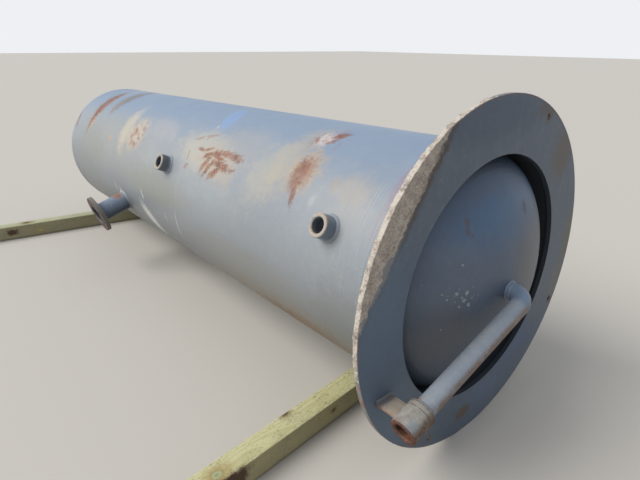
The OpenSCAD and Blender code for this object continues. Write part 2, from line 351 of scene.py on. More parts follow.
def patch_group():
    """A ragged patch on the tank: Core has a sharp edge, Soft a feathered one, Halo fades out far."""
    g, i, end = shader_group("patch on the tank", [
        ("Ahead", "f", 0.0), ("Round", "f", 0.0), ("Edge", "f", 0.5), ("Along", "f", 0.0),
        ("Clock", "f", 0.0), ("Half Length", "f", 0.1), ("Half Width", "f", 0.1), ("Turn", "f", 0.0),
        ("Radius", "f", 0.457), ("Ragged", "f", 0.5)], [("Core", "f"), ("Soft", "f"), ("Halo", "f")])
    ahead_of = g.math("SUBTRACT", i["Ahead"], i["Along"])
    apart = g.add("ShaderNodeMath", {0: g.math("SUBTRACT", i["Round"], i["Clock"]), 1: math.pi, 2: -math.pi},
                  operation="WRAP")
    round_it = g.times(apart, i["Radius"])
    c, s = g.math("COSINE", i["Turn"]), g.math("SINE", i["Turn"])
    u = g.plus(g.times(ahead_of, c), g.times(round_it, s))
    w = g.math("SUBTRACT", g.times(round_it, c), g.times(ahead_of, s))
    u = g.math("POWER", g.math("DIVIDE", u, i["Half Length"]), 2.0)
    w = g.math("POWER", g.math("DIVIDE", w, i["Half Width"]), 2.0)
    out = torn(g, i, g.math("SQRT", g.plus(u, w)))
    return finish_group(g, end, Core=g.rise(out, 1.0, 0.78), Soft=g.rise(out, 1.25, 0.45),
                        Halo=g.rise(out, 1.75, 0.6))


def blob_group():
    """A ragged blob about a point, for flat faces and timbers. Its size is three half lengths."""
    g, i, end = shader_group("ragged blob", [
        ("Place", "v", None), ("Edge", "f", 0.5), ("Centre", "v", None), ("Size", "v", None),
        ("Ragged", "f", 0.5)], [("Core", "f"), ("Halo", "f")])
    off = g.vector("DIVIDE", g.vector("SUBTRACT", i["Place"], i["Centre"]), i["Size"])
    out = torn(g, i, g.length(off))
    return finish_group(g, end, Core=g.rise(out, 1.0, 0.78), Halo=g.rise(out, 1.75, 0.6))


def worn_edge_group():
    """A broken line along sharp edges, where paint is rubbed off first."""
    g, i, end = shader_group("worn edge", [("Place", "v", None), ("Width", "f", 0.003),
                                           ("Amount", "f", 0.5)], [("Mask", "f")])
    rounded = g.add("ShaderNodeBevel", {"Radius": i["Width"]}, samples=6)
    flat = g.add("ShaderNodeNewGeometry", out="Normal")
    bend = g.vector("DOT_PRODUCT", rounded, flat, out="Value")
    chips = g.noise(i["Place"], 120, 5, 0.7)
    limit = g.math("SUBTRACT", 0.62, g.times(i["Amount"], 0.24))
    chips = g.rise(chips, limit, g.plus(limit, 0.06))
    return finish_group(g, end, Mask=g.times(g.rise(bend, 0.985, 0.93), chips))


patch_tree = patch_group()
blob_tree = blob_group()
worn_tree = worn_edge_group()

# %% [markdown]
# The primer is a thin grey-blue coat that has stood outdoors. Close up it has the fine texture of
# sprayed paint; from a step away it is blotchy, paler where dust has dried on it, with faint runs
# down the sides and a few pin-head chips. The group puts out colour, roughness and height, and
# every painted piece calls it with its own two greys.

# %% Primer


def primer_group():
    """Weathered sprayed primer between two greys."""
    g, i, end = shader_group("weathered primer", [
        ("Place", "v", None), ("Light", "c", None), ("Dark", "c", None), ("Dust", "f", 0.3),
        ("Specks", "f", 0.5), ("Texture", "f", 1.0)],
        [("Colour", "c"), ("Roughness", "f"), ("Height", "f")])
    cloud = g.noise(i["Place"], 1.7, 4, 0.5)
    colour = g.mix(g.rise(cloud, 0.25, 0.75), i["Dark"], i["Light"])
    fine = g.noise(i["Place"], 42, 6, 0.7)
    worked = g.times(g.rise(fine, 0.45, 0.8), g.times(i["Texture"], 0.14))
    colour = g.mix(worked, colour, rgb(206, 208, 208))
    runs = g.noise(g.stretch(i["Place"], (22, 22, 1.6)), 1.0, 3, 0.5)
    runs = g.times(g.rise(runs, 0.56, 0.82), g.times(i["Texture"], 0.12))
    colour = g.mix(runs, colour, rgb(196, 194, 188))
    facing = g.upward()
    dried = g.rise(g.noise(i["Place"], 4.5, 6, 0.68), 0.42, 0.75)
    film = g.times(g.rise(facing, -0.3, 0.9), dried, i["Dust"])
    colour = g.mix(film, colour, rgb(190, 184, 170))
    specks = g.times(g.rise(g.noise(i["Place"], 105, 2, 0.5), 0.735, 0.775), i["Specks"])
    colour = g.mix(specks, colour, rgb(134, 96, 74))
    rough = g.between(g.rise(cloud, 0.3, 0.7), 0.36, 0.46)
    rough = g.plus(rough, g.times(film, 0.6))
    peel = g.times(g.noise(i["Place"], 300, 2, 0.5), 0.18)
    dents = g.times(g.noise(i["Place"], 5, 2, 0.5), 2.2)
    height = g.plus(peel, dents, g.times(fine, 0.10))
    height = g.math("SUBTRACT", height, g.times(specks, 0.5))
    return finish_group(g, end, Colour=colour, Roughness=rough, Height=height)


primer_tree = primer_group()

# %% [markdown]
# Rust is never one brown. Where the paint has gone for good it is dark and purplish, fresh rust is
# orange, and dust dries pale in its pits. One group mixes the three by noise at two scales, and its
# height makes the surface scabby.

# %% Rust


def rust_group():
    """Scabby rust: the old brown, where fresh orange lies on it, and its height."""
    g, i, end = shader_group("scabby rust", [("Place", "v", None)],
                             [("Colour", "c"), ("Fresh", "f"), ("Height", "f")])
    coarse = g.noise(i["Place"], 38, 6, 0.65)
    fine = g.noise(i["Place"], 210, 5, 0.7)
    colour = g.ramp(coarse, (0.30, rgb(84, 58, 50)), (0.46, rgb(118, 80, 66)), (0.60, rgb(146, 98, 76)),
                    (0.76, rgb(136, 104, 90)))
    colour = g.mix(g.times(g.rise(fine, 0.56, 0.76), 0.4), colour, rgb(164, 148, 134))
    height = g.plus(g.times(coarse, 0.7), g.times(fine, 0.6))
    return finish_group(g, end, Colour=colour, Fresh=g.rise(fine, 0.40, 0.60), Height=height)


rust_tree = rust_group()

# %% [markdown]
# A painted material is built up as a painter would: primer first, then each mark over it, and last
# the shader. The little class below carries the colour, roughness and height through those coats,
# so a finish reads as a list of coats. Marks made by hand, such as the scrape that a lifting sling
# left round the tank, are patches that are long one way and thin the other.

# %% A painted finish


class Finish:
    """A material that is built coat by coat. Colour, roughness and height are carried along."""

    def __init__(self, name, origin=ring_centre, turned=(0, -tilt, 0)):
        self.material = bpy.data.materials.new(name)
        self.material.use_nodes = True
        self.nodes = Nodes(self.material.node_tree)
        self.shader = self.material.node_tree.nodes["Principled BSDF"]
        point = self.nodes.add("ShaderNodeTexCoord", out="Object")
        self.place = self.nodes.add("ShaderNodeMapping", {
            "Vector": point, "Location": origin, "Rotation": turned}, vector_type="TEXTURE")
        self.edge = self.nodes.noise(self.place, 22, 8, 0.82)
        self.frayed = self.nodes.noise(self.place, 80, 6, 0.75)
        self.rusty = None
        self.axes = self.nodes.add("ShaderNodeSeparateXYZ", {0: self.place}, out=None).outputs
        self.round = self.nodes.math("ARCTAN2", self.axes[2], self.axes[1])
        self.upward = self.nodes.upward()

    def effect(self, tree, **values):
        """A group's outputs by name; an underscore in an input's name stands for a space."""
        inputs = {key.replace("_", " "): value for key, value in values.items()}
        if "Place" in tree.interface.items_tree:
            inputs["Place"] = self.place
        return self.nodes.add("ShaderNodeGroup", inputs, out=None, node_tree=tree).outputs

    def primer(self, light, dark, dust=0.3, specks=0.5, texture=1.0):
        made = self.effect(primer_tree, Light=light, Dark=dark, Dust=dust, Specks=specks, Texture=texture)
        self.colour, self.rough, self.height = made["Colour"], made["Roughness"], made["Height"]

    def patch(self, along, clock, length, width, turn=0, ragged=0.5, radius=shell_r, edge=None):
        """A patch's masks. along in mm, clock and turn in degrees, length and width in mm overall."""
        return self.effect(patch_tree, Ahead=self.axes[0], Round=self.round, Edge=edge or self.edge,
                           Along=along / 1000, Clock=math.radians(clock), Half_Length=length / 2000,
                           Half_Width=width / 2000, Turn=math.radians(turn), Radius=radius, Ragged=ragged)

    def stroke(self, along, clock, to_along, to_clock, width, ragged=0.5):
        """A patch's masks for a stroke between two places, that wide in mm."""
        run = to_along - along
        rise = math.radians(to_clock - clock) * shell_r * 1000
        return self.patch((along + to_along) / 2, (clock + to_clock) / 2, math.hypot(run, rise) + width,
                          width, math.degrees(math.atan2(rise, run)), ragged, edge=self.frayed)

    def blob(self, centre, size, ragged=0.5):
        """A blob's masks. Its centre and its overall size in mm, in the finish's own axes."""
        return self.effect(blob_tree, Edge=self.edge, Centre=[c / 1000 for c in centre],
                           Size=[c / 2000 for c in size], Ragged=ragged)

    def both(self, *masks):
        """Where all of those masks are."""
        return self.nodes.times(*masks)

    def most(self, *masks):
        """Where any of those masks is."""
        return self.nodes.chain("MAXIMUM", masks)

    def broken(self, mask, low, high):
        """A mask that the finish's own noise breaks up: less is left of it where low and high are more."""
        return self.both(mask, self.nodes.rise(self.edge, low, high))

    def off_axis(self):
        """How far a point lies from the tank's axis, in metres."""
        n = self.nodes
        return n.math("SQRT", n.plus(n.math("POWER", self.axes[1], 2.0), n.math("POWER", self.axes[2], 2.0)))

    def strokes(self, rows):
        """Where any of those strokes is. A row has two places, the width, how ragged and how strong."""
        made = 0.0
        for along, clock, to_along, to_clock, width, ragged, strength in rows:
            mask = self.stroke(along, clock, to_along, to_clock, width, ragged)["Soft"]
            made = self.nodes.math("MAXIMUM", made, self.nodes.times(mask, strength))
        return made

    def worn(self, colour, width=0.003, amount=0.5, strength=1.0):
        """Bare or dusty edges."""
        self.coat(self.effect(worn_tree, Width=width, Amount=amount)["Mask"], colour, 0.7,
                  strength=strength)

    def stain(self, centre, size, ragged, colour, rough=None, strength=1.0):
        """A coat in a blob, which fades out round it."""
        self.coat(self.blob(centre, size, ragged)["Halo"], colour, rough, strength=strength)

    def coat(self, mask, colour, rough=None, height=None, strength=1.0):
        """Lays a colour over what is there, through a mask."""
        n = self.nodes
        if strength != 1.0:
            mask = n.times(mask, strength)
        self.colour = n.mix(mask, self.colour, colour)
        if rough is not None:
            self.rough = n.between(mask, self.rough, rough)
        if height is not None:
            self.height = n.plus(self.height, n.times(mask, height))

    def rust(self, mask, fresh=0.4, strength=1.0):
        """Lays rust. fresh is how much of it is orange. Its noise is worked out once for a finish."""
        if self.rusty is None:
            self.rusty = self.effect(rust_tree)
        n = self.nodes
        orange = n.times(self.rusty["Fresh"], fresh)
        mask = n.times(mask, n.between(n.rise(self.edge, 0.34, 0.56), 0.5, 1.0))
        colour = n.mix(orange, self.rusty["Colour"], rgb(172, 104, 66))
        self.coat(mask, colour, rough=0.85, height=self.rusty["Height"], strength=strength)

    def scratches(self, mask, colour, strength=0.7, density=0.62):
        """Thin lines that run round the tank, where the mask is."""
        n = self.nodes
        lines = n.noise(n.stretch(self.place, (330, 2.2, 2.2)), 1.0, 2, 0.6)
        self.coat(n.times(n.rise(lines, density, density + 0.07), mask), colour,
                  strength=strength)

    def done(self, depth=0.0006, rounding=0.0):
        """Joins the coats to the shader. depth is the height of the bump in metres."""
        n, links = self.nodes, self.material.node_tree.links
        bump = {"Height": self.height, "Strength": 1.0, "Distance": depth}
        if rounding:
            bump["Normal"] = n.add("ShaderNodeBevel", {"Radius": rounding}, samples=4)
        for name, value in (("Base Color", self.colour), ("Roughness", self.rough),
                            ("Normal", n.add("ShaderNodeBump", bump))):
            links.new(value, self.shader.inputs[name])
        self.shader.inputs["Specular IOR Level"].default_value = 0.4
        print("finish:", self.material.name, "with", len(self.material.node_tree.nodes), "nodes")
        return self.material


pale_primer, grey_primer = rgb(149, 155, 161), rgb(139, 145, 152)
dust_beige, bare_white = rgb(196, 184, 166), rgb(214, 214, 210)
print("the shell's two greys in linear numbers:", round(pale_primer[0], 3), round(grey_primer[0], 3))

# %% [markdown]
# The shell carries the marks that make this tank this tank. A leaf-shaped patch of rust and a pale
# one lie above the near coupling; a scribbled field of rust with a beige border sits between the
# two couplings; two slings have scraped the far end down to the steel; and the ring's welding heat
# has left a purple blush beside the seam.
#
# All strokes of one kind of rust are joined into one mask, each as soon as it is made, and laid in
# one go, because a mask that colour, roughness and height all ask for is kept until the end too.

# %% Shell paint: the marks
shell_stains = (
    # along, clock, length, width, turn, ragged, colour, strength
    (-2500, 152, 900, 300, 0, 0.8, rgb(150, 146, 128), 0.30),
    (-1750, 172, 620, 150, 0, 0.8, rgb(140, 138, 112), 0.34),
    (-2900, 165, 500, 320, 0, 0.8, rgb(128, 130, 122), 0.35),
    (-660, -142, 1000, 240, 0, 0.8, rgb(132, 116, 88), 0.42),
    (-500, -138, 660, 170, 0, 0.8, rgb(112, 80, 40), 0.78),
    (-260, -156, 260, 360, 0, 0.8, rgb(112, 112, 104), 0.40),
    (-158, 121, 40, 200, 0, 0.5, rgb(150, 116, 136), 0.42),
    (-168, 134, 26, 240, 0, 0.5, rgb(150, 122, 134), 0.22),
    (-705, 126, 150, 300, 8, 0.8, rgb(176, 160, 136), 0.42),
    (-800, 138, 160, 260, 14, 0.8, rgb(180, 172, 152), 0.38),
    (-330, 136, 150, 90, 10, 0.8, rgb(176, 160, 138), 0.30),
    (-422, 136, 40, 34, 0, 0.8, rgb(160, 140, 116), 0.28),
    (-481, 146, 26, 34, 0, 0.8, rgb(194, 196, 194), 0.22),
    (-1850, 132, 300, 120, 10, 0.8, rgb(184, 174, 162), 0.25),
    (-2524, 152, 44, 36, 0, 0.8, rgb(184, 152, 116), 0.50),
    (-900, -168, 700, 140, 0, 0.8, rgb(134, 130, 118), 0.30),
    (-2990, 122, 110, 330, 4, 0.5, dust_beige, 0.35),
    (-2996, 121, 120, 250, 2, 0.8, rgb(104, 88, 82), 0.55),
    (-2978, 144, 60, 56, 0, 0.5, rgb(184, 146, 122), 0.50),
    (-2752, 108, 110, 250, 2, 0.8, rgb(112, 98, 82), 0.80),
    (-2780, 121, 60, 130, -8, 0.8, rgb(140, 124, 104), 0.60),
    (-2322, 139, 110, 260, -6, 0.8, rgb(196, 184, 160), 0.60),
    (-2150, 141, 190, 170, 0, 0.5, rgb(190, 176, 156), 0.65),
    (-1310, 139, 400, 170, 4, 0.8, rgb(186, 177, 156), 0.55),
    (-1160, 143, 270, 110, 10, 0.8, rgb(180, 158, 134), 0.40),
    (-590, 134, 130, 150, 6, 0.8, rgb(178, 156, 126), 0.60),
    (-1070, 131, 330, 190, 0, 0.8, rgb(164, 158, 152), 0.40),
    # the side away from the photograph
    (-3000, 62, 90, 420, -3, 0.8, rgb(168, 150, 128), 0.40),
    (-2760, 58, 70, 360, 4, 0.8, rgb(134, 122, 104), 0.45),
    (-900, 40, 260, 420, 8, 0.8, rgb(178, 170, 152), 0.30),
    (-1900, 20, 700, 260, 0, 0.8, rgb(150, 148, 132), 0.30),
    (-2500, 48, 200, 300, -6, 0.8, rgb(180, 172, 154), 0.32),
    (-420, -30, 500, 200, 0, 0.8, rgb(138, 112, 84), 0.45))
old_rust = (
    # along and clock at both ends, width, ragged, strength
    (-3000, 107, -3002, 135, 120, 0.8, 0.85), (-1296, 142.3, -1231, 138.9, 32, 0.8, 0.9),
    (-1231, 138.9, -1152, 137.1, 38, 0.8, 0.9), (-1152, 137.1, -1085, 137.2, 40, 0.8, 0.9),
    (-1085, 137.2, -1004, 138.0, 44, 0.8, 0.9), (-1382, 138.2, -1328, 138.8, 20, 0.8, 0.9),
    (-1328, 138.8, -1262, 136.0, 20, 0.8, 0.9), (-1246, 141.7, -1277, 150.4, 38, 0.8, 0.9),
    (-1191, 141.9, -1240, 151.8, 36, 0.8, 0.9), (-1201, 143.6, -1063, 145.4, 48, 0.8, 0.9),
    (-1134, 146.0, -1184, 152.1, 42, 0.8, 0.9), (-1220, 140.4, -1120, 141.2, 26, 0.8, 0.9),
    (-3004, 44, -2998, 66, 50, 0.8, 0.7), (-1560, 52, -1480, 49, 26, 0.8, 0.6),
    (-1041, 145.4, -1007, 144.6, 16, 0.8, 0.7), (-604, 108.5, -578, 106.0, 50, 0.8, 0.85),
    (-622, 130.5, -610, 141, 80, 0.5, 0.85), (-608, 139, -582, 151, 34, 0.5, 0.8))
fresh_rust = (
    (-3002, 128, -3014, 150, 60, 0.8, 0.85), (-3312, 139, -3275, 153, 34, 0.5, 0.85),
    (-2190, 138, -2160, 141, 30, 0.8, 0.8), (-2140, 149, -2110, 150, 26, 0.8, 0.8),
    (-1454, 133.2, -1390, 129.7, 18, 0.8, 0.5), (-1390, 129.7, -1303, 126.6, 20, 0.8, 0.5),
    (-1372, 131.4, -1345, 129.0, 12, 0.8, 0.5), (-1430, 151.6, -1418, 150.6, 30, 0.8, 0.5),
    (-1452, 141.0, -1436, 147.0, 12, 0.8, 0.5), (-606, 114.5, -590, 112.5, 30, 0.8, 0.8),
    (-684, 113.0, -668, 116.0, 20, 0.8, 0.7), (-580, 129, -572, 139, 64, 0.8, 0.5),
    (-2996, 30, -3002, 40, 36, 0.8, 0.6), (-1500, 50, -1450, 45, 30, 0.8, 0.5),
    (-700, 22, -690, 12, 30, 0.8, 0.6), (-2300, 8, -2280, -4, 24, 0.8, 0.6),
    (-3310, 20, -3290, 34, 26, 0.8, 0.7))
scuffs = (
    (-1952, -164.2, -1866, -150.5, 112, 0.5, 0.7), (-1938, 180.2, -1919, 186.1, 16, 0.5, 0.7),
    (-2330, -172, -2290, -162, 26, 0.5, 0.7), (-2420, -176, -2380, -166, 10, 0.5, 0.7),
    (-1640, -172, -1634, -166, 6, 0.5, 0.7), (-1492, -178.5, -1507, -158, 8, 0.5, 0.7),
    (-1700, -150, -1640, -146, 8, 0.5, 0.7), (-1250, 10, -1180, 2, 16, 0.5, 0.6),
    (-2050, -12, -2010, -22, 10, 0.5, 0.6), (-500, 30, -470, 24, 9, 0.5, 0.6),
    (-1378, 119.0, -1376, 121.8, 8, 0.5, 0.7))
print("marks on the shell:", len(shell_stains) + len(old_rust) + len(fresh_rust) + len(scuffs))

# %% Shell paint: the coats


def shell_paint():
    """Primer with the shell's own marks, a painted sky reflection on top and painted shade below."""
    f = Finish("shell_primer")
    n = f.nodes
    f.primer(pale_primer, grey_primer, dust=0.30, specks=0.35, texture=0.7)
    # painted reflection: the top of the shell is tinted blue, as if it mirrored the sky
    f.coat(n.rise(f.upward, 0.55, 0.98), rgb(112, 137, 167), strength=0.58)
    # painted shade: the underside of the shell is made a darker grey
    f.coat(n.rise(f.upward, 0.40, -0.60), rgb(96, 98, 96), strength=0.62)
    for along, clock, length, width, turning, ragged, colour, strength in shell_stains:
        f.coat(f.patch(along, clock, length, width, turning, ragged)["Halo"], colour, strength=strength)
    f.coat(f.patch(-1370, 109, 116, 250, -30, 0.12)["Core"], rgb(126, 154, 196), strength=0.60)
    f.coat(f.patch(-640, 111.5, 84, 96, -12, 0.8)["Soft"], rgb(190, 180, 176), strength=0.9)
    # loose scabs over the scribbled field of rust
    loose = n.rise(n.noise(n.stretch(f.place, (14, 26, 26)), 1.0, 5, 0.7), 0.50, 0.60)
    f.coat(f.both(loose, f.patch(-1190, 146, 260, 110, 10, 0.5)["Halo"]), rgb(168, 140, 104),
           strength=0.5)
    f.stain((-3480, -120, 190), (260, 300, 220), 0.6, rgb(176, 170, 154), strength=0.35)
    f.stain((-3500, 60, -260), (260, 420, 160), 0.6, rgb(120, 110, 94), strength=0.35)
    spots = n.rise(n.noise(f.place, 26, 5, 0.75), 0.50, 0.60)
    around = f.most(f.patch(-2150, 142, 200, 150, 0, 0.5)["Halo"],
                    f.patch(-622, 112, 130, 120, -10, 0.5)["Halo"],
                    f.blob((-3460, 200, 90), (300, 120, 90), 0.6)["Halo"])
    f.rust(f.most(f.both(spots, around, 0.7), f.strokes(fresh_rust)), 0.6)
    f.rust(f.strokes(old_rust), 0.15)
    f.coat(f.patch(-612, 137, 70, 150, 6, 0.6)["Soft"], rgb(140, 116, 106), strength=0.30)
    f.coat(f.strokes(scuffs), bare_white)
    f.scratches(f.patch(-215, 152, 110, 380, ragged=0.8)["Halo"], bare_white, 0.45, 0.61)
    f.scratches(f.patch(-250, 120, 260, 620, ragged=0.5)["Halo"], rgb(96, 96, 104), 0.35, 0.66)
    # painted shade inside the skirt, in the recess between the ring and the head
    inside = n.rise(f.off_axis(), skirt_inner + 0.006, skirt_inner + 0.0035)
    f.coat(f.both(inside, n.rise(f.axes[0], -0.60, -0.50)), rgb(40, 44, 48), strength=0.92)
    return f.done(0.0007)


shell_finish = shell_paint()

# %% [markdown]
# Pieces are made from here on. Some are plain meshes of points and faces, and a geometry tree then
# works them over. The tree's result is kept as a plain mesh, because that is what an exporter reads
# best. Fittings stand at odd clock angles, so there are axes that are turned to each of them.

# %% Helpers for pieces


def clocked(clock):
    """The tank's axes turned so that Y points out of the tank at that clock angle."""
    return from_tank @ Matrix.Rotation(math.radians(clock), 4, "X")


def clock_of(node):
    """The clock angle of a node's middle, in degrees."""
    place = middle(node)
    return math.degrees(math.atan2(place.z, place.y))


def mesh_of(name, points, faces):
    """A mesh with its normals turned outward."""
    mesh = bpy.data.meshes.new(name)
    mesh.from_pydata([tuple(point) for point in points], [], faces)
    shaped = bmesh.new()
    shaped.from_mesh(mesh)
    bmesh.ops.recalc_face_normals(shaped, faces=shaped.faces)
    shaped.to_mesh(mesh)
    shaped.free()
    return mesh


def give(mesh, name, values):
    """Lets a mesh carry a number or a vector for each of its points, under that name."""
    if isinstance(values[0], Vector):
        flat = [number for vector in values for number in vector]
        mesh.attributes.new(name, "FLOAT_VECTOR", "POINT").data.foreach_set("vector", flat)
    else:
        mesh.attributes.new(name, "FLOAT", "POINT").data.foreach_set("value", values)


def grown(name, mesh, tree, **values):
    """Runs a geometry tree on a mesh, keeps the result as a plain piece and gives it back."""
    piece = bpy.data.objects.new(name, mesh)
    scene.collection.objects.link(piece)
    modifier = piece.modifiers.new("grow", "NODES")
    modifier.node_group = tree
    for item in tree.interface.items_tree:
        if item.in_out == "INPUT" and item.name.replace(" ", "_") in values:
            modifier[item.identifier] = values[item.name.replace(" ", "_")]
    seen_by = bpy.context.evaluated_depsgraph_get()
    seen_by.update()
    result = bpy.data.meshes.new_from_object(piece.evaluated_get(seen_by), depsgraph=seen_by)
    piece.modifiers.remove(modifier)
    piece.data = result
    result.name = name
    print("piece:", name, "with", len(result.polygons), "faces")
    return piece


def geometry_group(name, inputs):
    """A geometry tree with those inputs: its Nodes, its input sockets by name and its output node."""
    tree = bpy.data.node_groups.new(name, "GeometryNodeTree")
    kinds = {"g": "NodeSocketGeometry", "f": "NodeSocketFloat", "i": "NodeSocketInt",
             "v": "NodeSocketVector", "m": "NodeSocketMaterial"}
    for socket, kind in inputs:
        tree.interface.new_socket(socket, in_out="INPUT", socket_type=kinds[kind])
    tree.interface.new_socket("Geometry", in_out="OUTPUT", socket_type=kinds["g"])
    made = Nodes(tree)
    entry = made.add("NodeGroupInput", out=None)
    return made, entry.outputs, made.add("NodeGroupOutput", out=None)


def push(group, geometry, way, far):
    """Moves each point of a mesh along a direction, that far."""
    shift = group.scaled(way, far)
    return group.add("GeometryNodeSetPosition", {"Geometry": geometry, "Offset": shift})


def close_tree(group, end, geometry, material):
    """The last steps of every geometry tree: real meshes, smooth faces and a material."""
    real = group.add("GeometryNodeRealizeInstances", {0: geometry})
    smooth = group.add("GeometryNodeSetShadeSmooth", {0: real})
    painted = group.add("GeometryNodeSetMaterial", {"Geometry": smooth, "Material": material})
    group.tree.links.new(painted, end.inputs[0])
    print("geometry group:", group.tree.name, "with", len(group.tree.nodes), "nodes")
    return group.tree


print("clock angle of the near coupling in degrees:", round(clock_of("near_coupling"), 1))

# %% [markdown]
# Every joint on the tank is an arc weld. Close up a weld isn't a plain wedge: the welder moves on
# a little with each drop, and each drop freezes as a crescent over the last one. The frame has the
# wedges, and here they are replaced by beads that follow the same joints.
#
# A bead is a closed bar with its corner just inside the steel and its two toes on the two plates.
# Python lays the bar along the joint, because a joint such as a pipe on a round shell is a curve
# that is easily written as a formula. The bar carries three attributes: the count of the ripples so
# far, the place across the bead from toe to toe, and the way out of the joint. From these Geometry
# Nodes raises the crown and the ripples.

# %% The weld tree


def weld_group():
    """Raises a crown and crescent ripples on a plain bar."""
    g, i, end = geometry_group("weld bead", [("Geometry", "g"), ("Crown", "f"), ("Ripple", "f"),
                                             ("Wander", "f"), ("Seed", "f"), ("Material", "m")])
    count, side, outward = g.named("ripples"), g.named("side"), g.named("outward", "FLOAT_VECTOR")
    place = g.add("GeometryNodeInputPosition")
    bulge = g.math("SUBTRACT", 1.0, g.math("POWER", side, 2.0), clamp=True)
    seeded = g.vector("ADD", place, g.add("ShaderNodeCombineXYZ", {0: i["Seed"]}))
    slow = g.noise(seeded, 60, 2, 0.5)
    phase = g.plus(count, g.times(g.math("POWER", side, 2.0), -0.55), g.times(slow, 1.1))
    drop = g.math("ABSOLUTE", g.math("SINE", g.times(phase, math.pi)))
    swell = g.times(g.math("SUBTRACT", slow, 0.5), g.times(bulge, i["Wander"]))
    height = g.plus(g.times(bulge, i["Crown"]), g.times(drop, bulge, i["Ripple"]), swell)
    return close_tree(g, end, push(g, i["Geometry"], outward, height), i["Material"])


weld_tree = weld_group()
# places across a bead, from -1 at one toe to 1 at the other
sides = [-1, -0.78, -0.45, 0, 0.45, 0.78, 1]


def bar(joints, pitch=0.006, closed=True):
    """Points, faces and attributes of the bar along a joint.

    joints holds (corner, toe, other toe) for each step along it."""
    points, faces, ripples, side, outward = [], [], [], [], []
    length = sum((joints[k][0] - joints[k - 1][0]).length for k in range(0 if closed else 1, len(joints)))
    whole = round(length / pitch)
    row = len(sides) + 1
    for k, (corner, toe, other) in enumerate(joints):
        out = ((toe + other) / 2 - corner).normalized()
        for s in sides:
            points.append(toe.lerp(other, (s + 1) / 2))
        points.append(corner)
        side.extend(sides + [1.0])
        ripples.extend([whole * k / len(joints)] * row)
        outward.extend([out] * row)
    for k in range(len(joints) if closed else len(joints) - 1):
        a, b = k * row, (k + 1) % len(joints) * row
        faces.extend((a + j, a + (j + 1) % row, b + (j + 1) % row, b + j) for j in range(row))
    if not closed:
        faces.append(tuple(range(row)))
        faces.append(tuple(reversed(range(len(points) - row, len(points)))))
    return points, faces, ripples, side, outward


def weld(name, bars, stands_for, material, crown=0.0009, ripple=0.0007, wander=0.0012, seed=1.0):
    """One piece from one or more bars, which takes the place of those nodes."""
    points, faces, ripples, side, outward = [], [], [], [], []
    for part in bars:
        first = len(points)
        points += part[0]
        faces += [tuple(index + first for index in face) for face in part[1]]
        ripples += part[2]
        side += part[3]
        outward += part[4]
    mesh = mesh_of(name + "_bar", points, faces)
    for key, values in (("ripples", ripples), ("side", side), ("outward", outward)):
        give(mesh, key, values)
    piece = grown(name, mesh, weld_tree, Crown=crown, Ripple=ripple, Wander=wander, Seed=seed,
                  Material=material)
    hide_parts(*stands_for)
    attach(piece, "root")
    return piece


# %% [markdown]
# Three kinds of joint cover all the welds. A hoop runs round the tank's own axis: the seams and the
# ring. A collar runs round a pipe that stands out of the tank: the flange, the elbow's ends and
# the sleeve. A saddle is where a pipe meets the round shell, a curve that rises and falls with the
# shell's curvature. Each toe sits a little inside its plate, so that no gap shows.

# %% The three kinds of joint
bite = 0.0005


def hoop(corner, toe, other, step=0.0015):
    """A bar round the tank's axis. Each place is (along, radius)."""
    count = round(2 * math.pi * corner[1] / step)
    joints = [[on_tank(along, 360 * k / count, radius) for along, radius in (corner, toe, other)]
              for k in range(count)]
    return bar(joints)


def collar(axes, along, corner, toe, other, step=0.0015, pitch=0.006):
    """A bar round a pipe that points out along Y at that along. Each place is (height, radius)."""
    count = round(2 * math.pi * corner[1] / step)
    joints = []
    for k in range(count):
        a = 2 * math.pi * k / count
        joints.append([axes @ Vector((along + radius * math.cos(a), height, radius * math.sin(a)))
                       for height, radius in (corner, toe, other)])
    return bar(joints, pitch)


def saddle(clock, along, radius, leg, step=0.0015):
    """A bar where a pipe of that radius stands on the shell."""
    axes = clocked(clock)
    count = round(2 * math.pi * (radius + leg / 2) / step)
    joints = []

    def on_shell(r, a, sink):
        side_way = r * math.sin(a)
        return Vector((along + r * math.cos(a), math.sqrt((shell_r - sink) ** 2 - side_way ** 2), side_way))

    for k in range(count):
        a = 2 * math.pi * k / count
        corner = on_shell(radius - bite, a, 0.002)
        toe = on_shell(radius + leg, a, bite)
        other = on_shell(radius - bite, a, 0) + Vector((0, leg, 0))
        joints.append([axes @ corner, axes @ toe, axes @ other])
    return bar(joints)


ring_back = -0.017
outer_leg, inner_leg = 0.008, 0.0056
seam_half = 0.0085
coupling_r, neck_r = 0.042, 0.05715
outer_weld = hoop((ring_back + bite, shell_r - bite), (ring_back + bite, shell_r + outer_leg),
                  (ring_back - outer_leg, shell_r - bite))
inner_weld = hoop((ring_back + bite, skirt_inner + bite), (ring_back + bite, skirt_inner - inner_leg),
                  (ring_back - inner_leg, skirt_inner + bite))
weld("ring_beads", [outer_weld, inner_weld], ["ring_welds"], shell_finish)

for name, along in (("near_seam_weld", seam_x), ("far_seam_weld", far_seam_x)):
    seam = hoop((along, shell_r - 0.004), (along - seam_half, shell_r - bite),
                (along + seam_half, shell_r - bite))
    weld(name + "_bead", [seam], [name], shell_finish, crown=0.0014, ripple=0.0006, seed=along)

for name, node, radius, leg in (("near_coupling_weld", "near_coupling", coupling_r, 0.009),
                                ("far_coupling_weld", "far_coupling", coupling_r, 0.009),
                                ("nozzle_weld", "nozzle_neck", neck_r, 0.010)):
    ring_bar = saddle(clock_of(node), middle(node).x, radius, leg)
    weld(name + "_bead", [ring_bar], [name], shell_finish, ripple=0.0008, seed=middle(node).x)

# %% Welds of the nozzle and the drain line
out_clock = clock_of("nozzle_neck")
out_axes = clocked(out_clock)
nozzle_x = middle("nozzle_neck").x
flange_face = 0.656
flange_r = 0.1143
hub_back = 0.6227
flange_bar = collar(out_axes, nozzle_x, (hub_back + bite, neck_r - bite), (hub_back - 0.007, neck_r - bite),
                    (hub_back + bite, neck_r + 0.007))
weld("flange_bead", [flange_bar], ["flange_weld"], shell_finish)

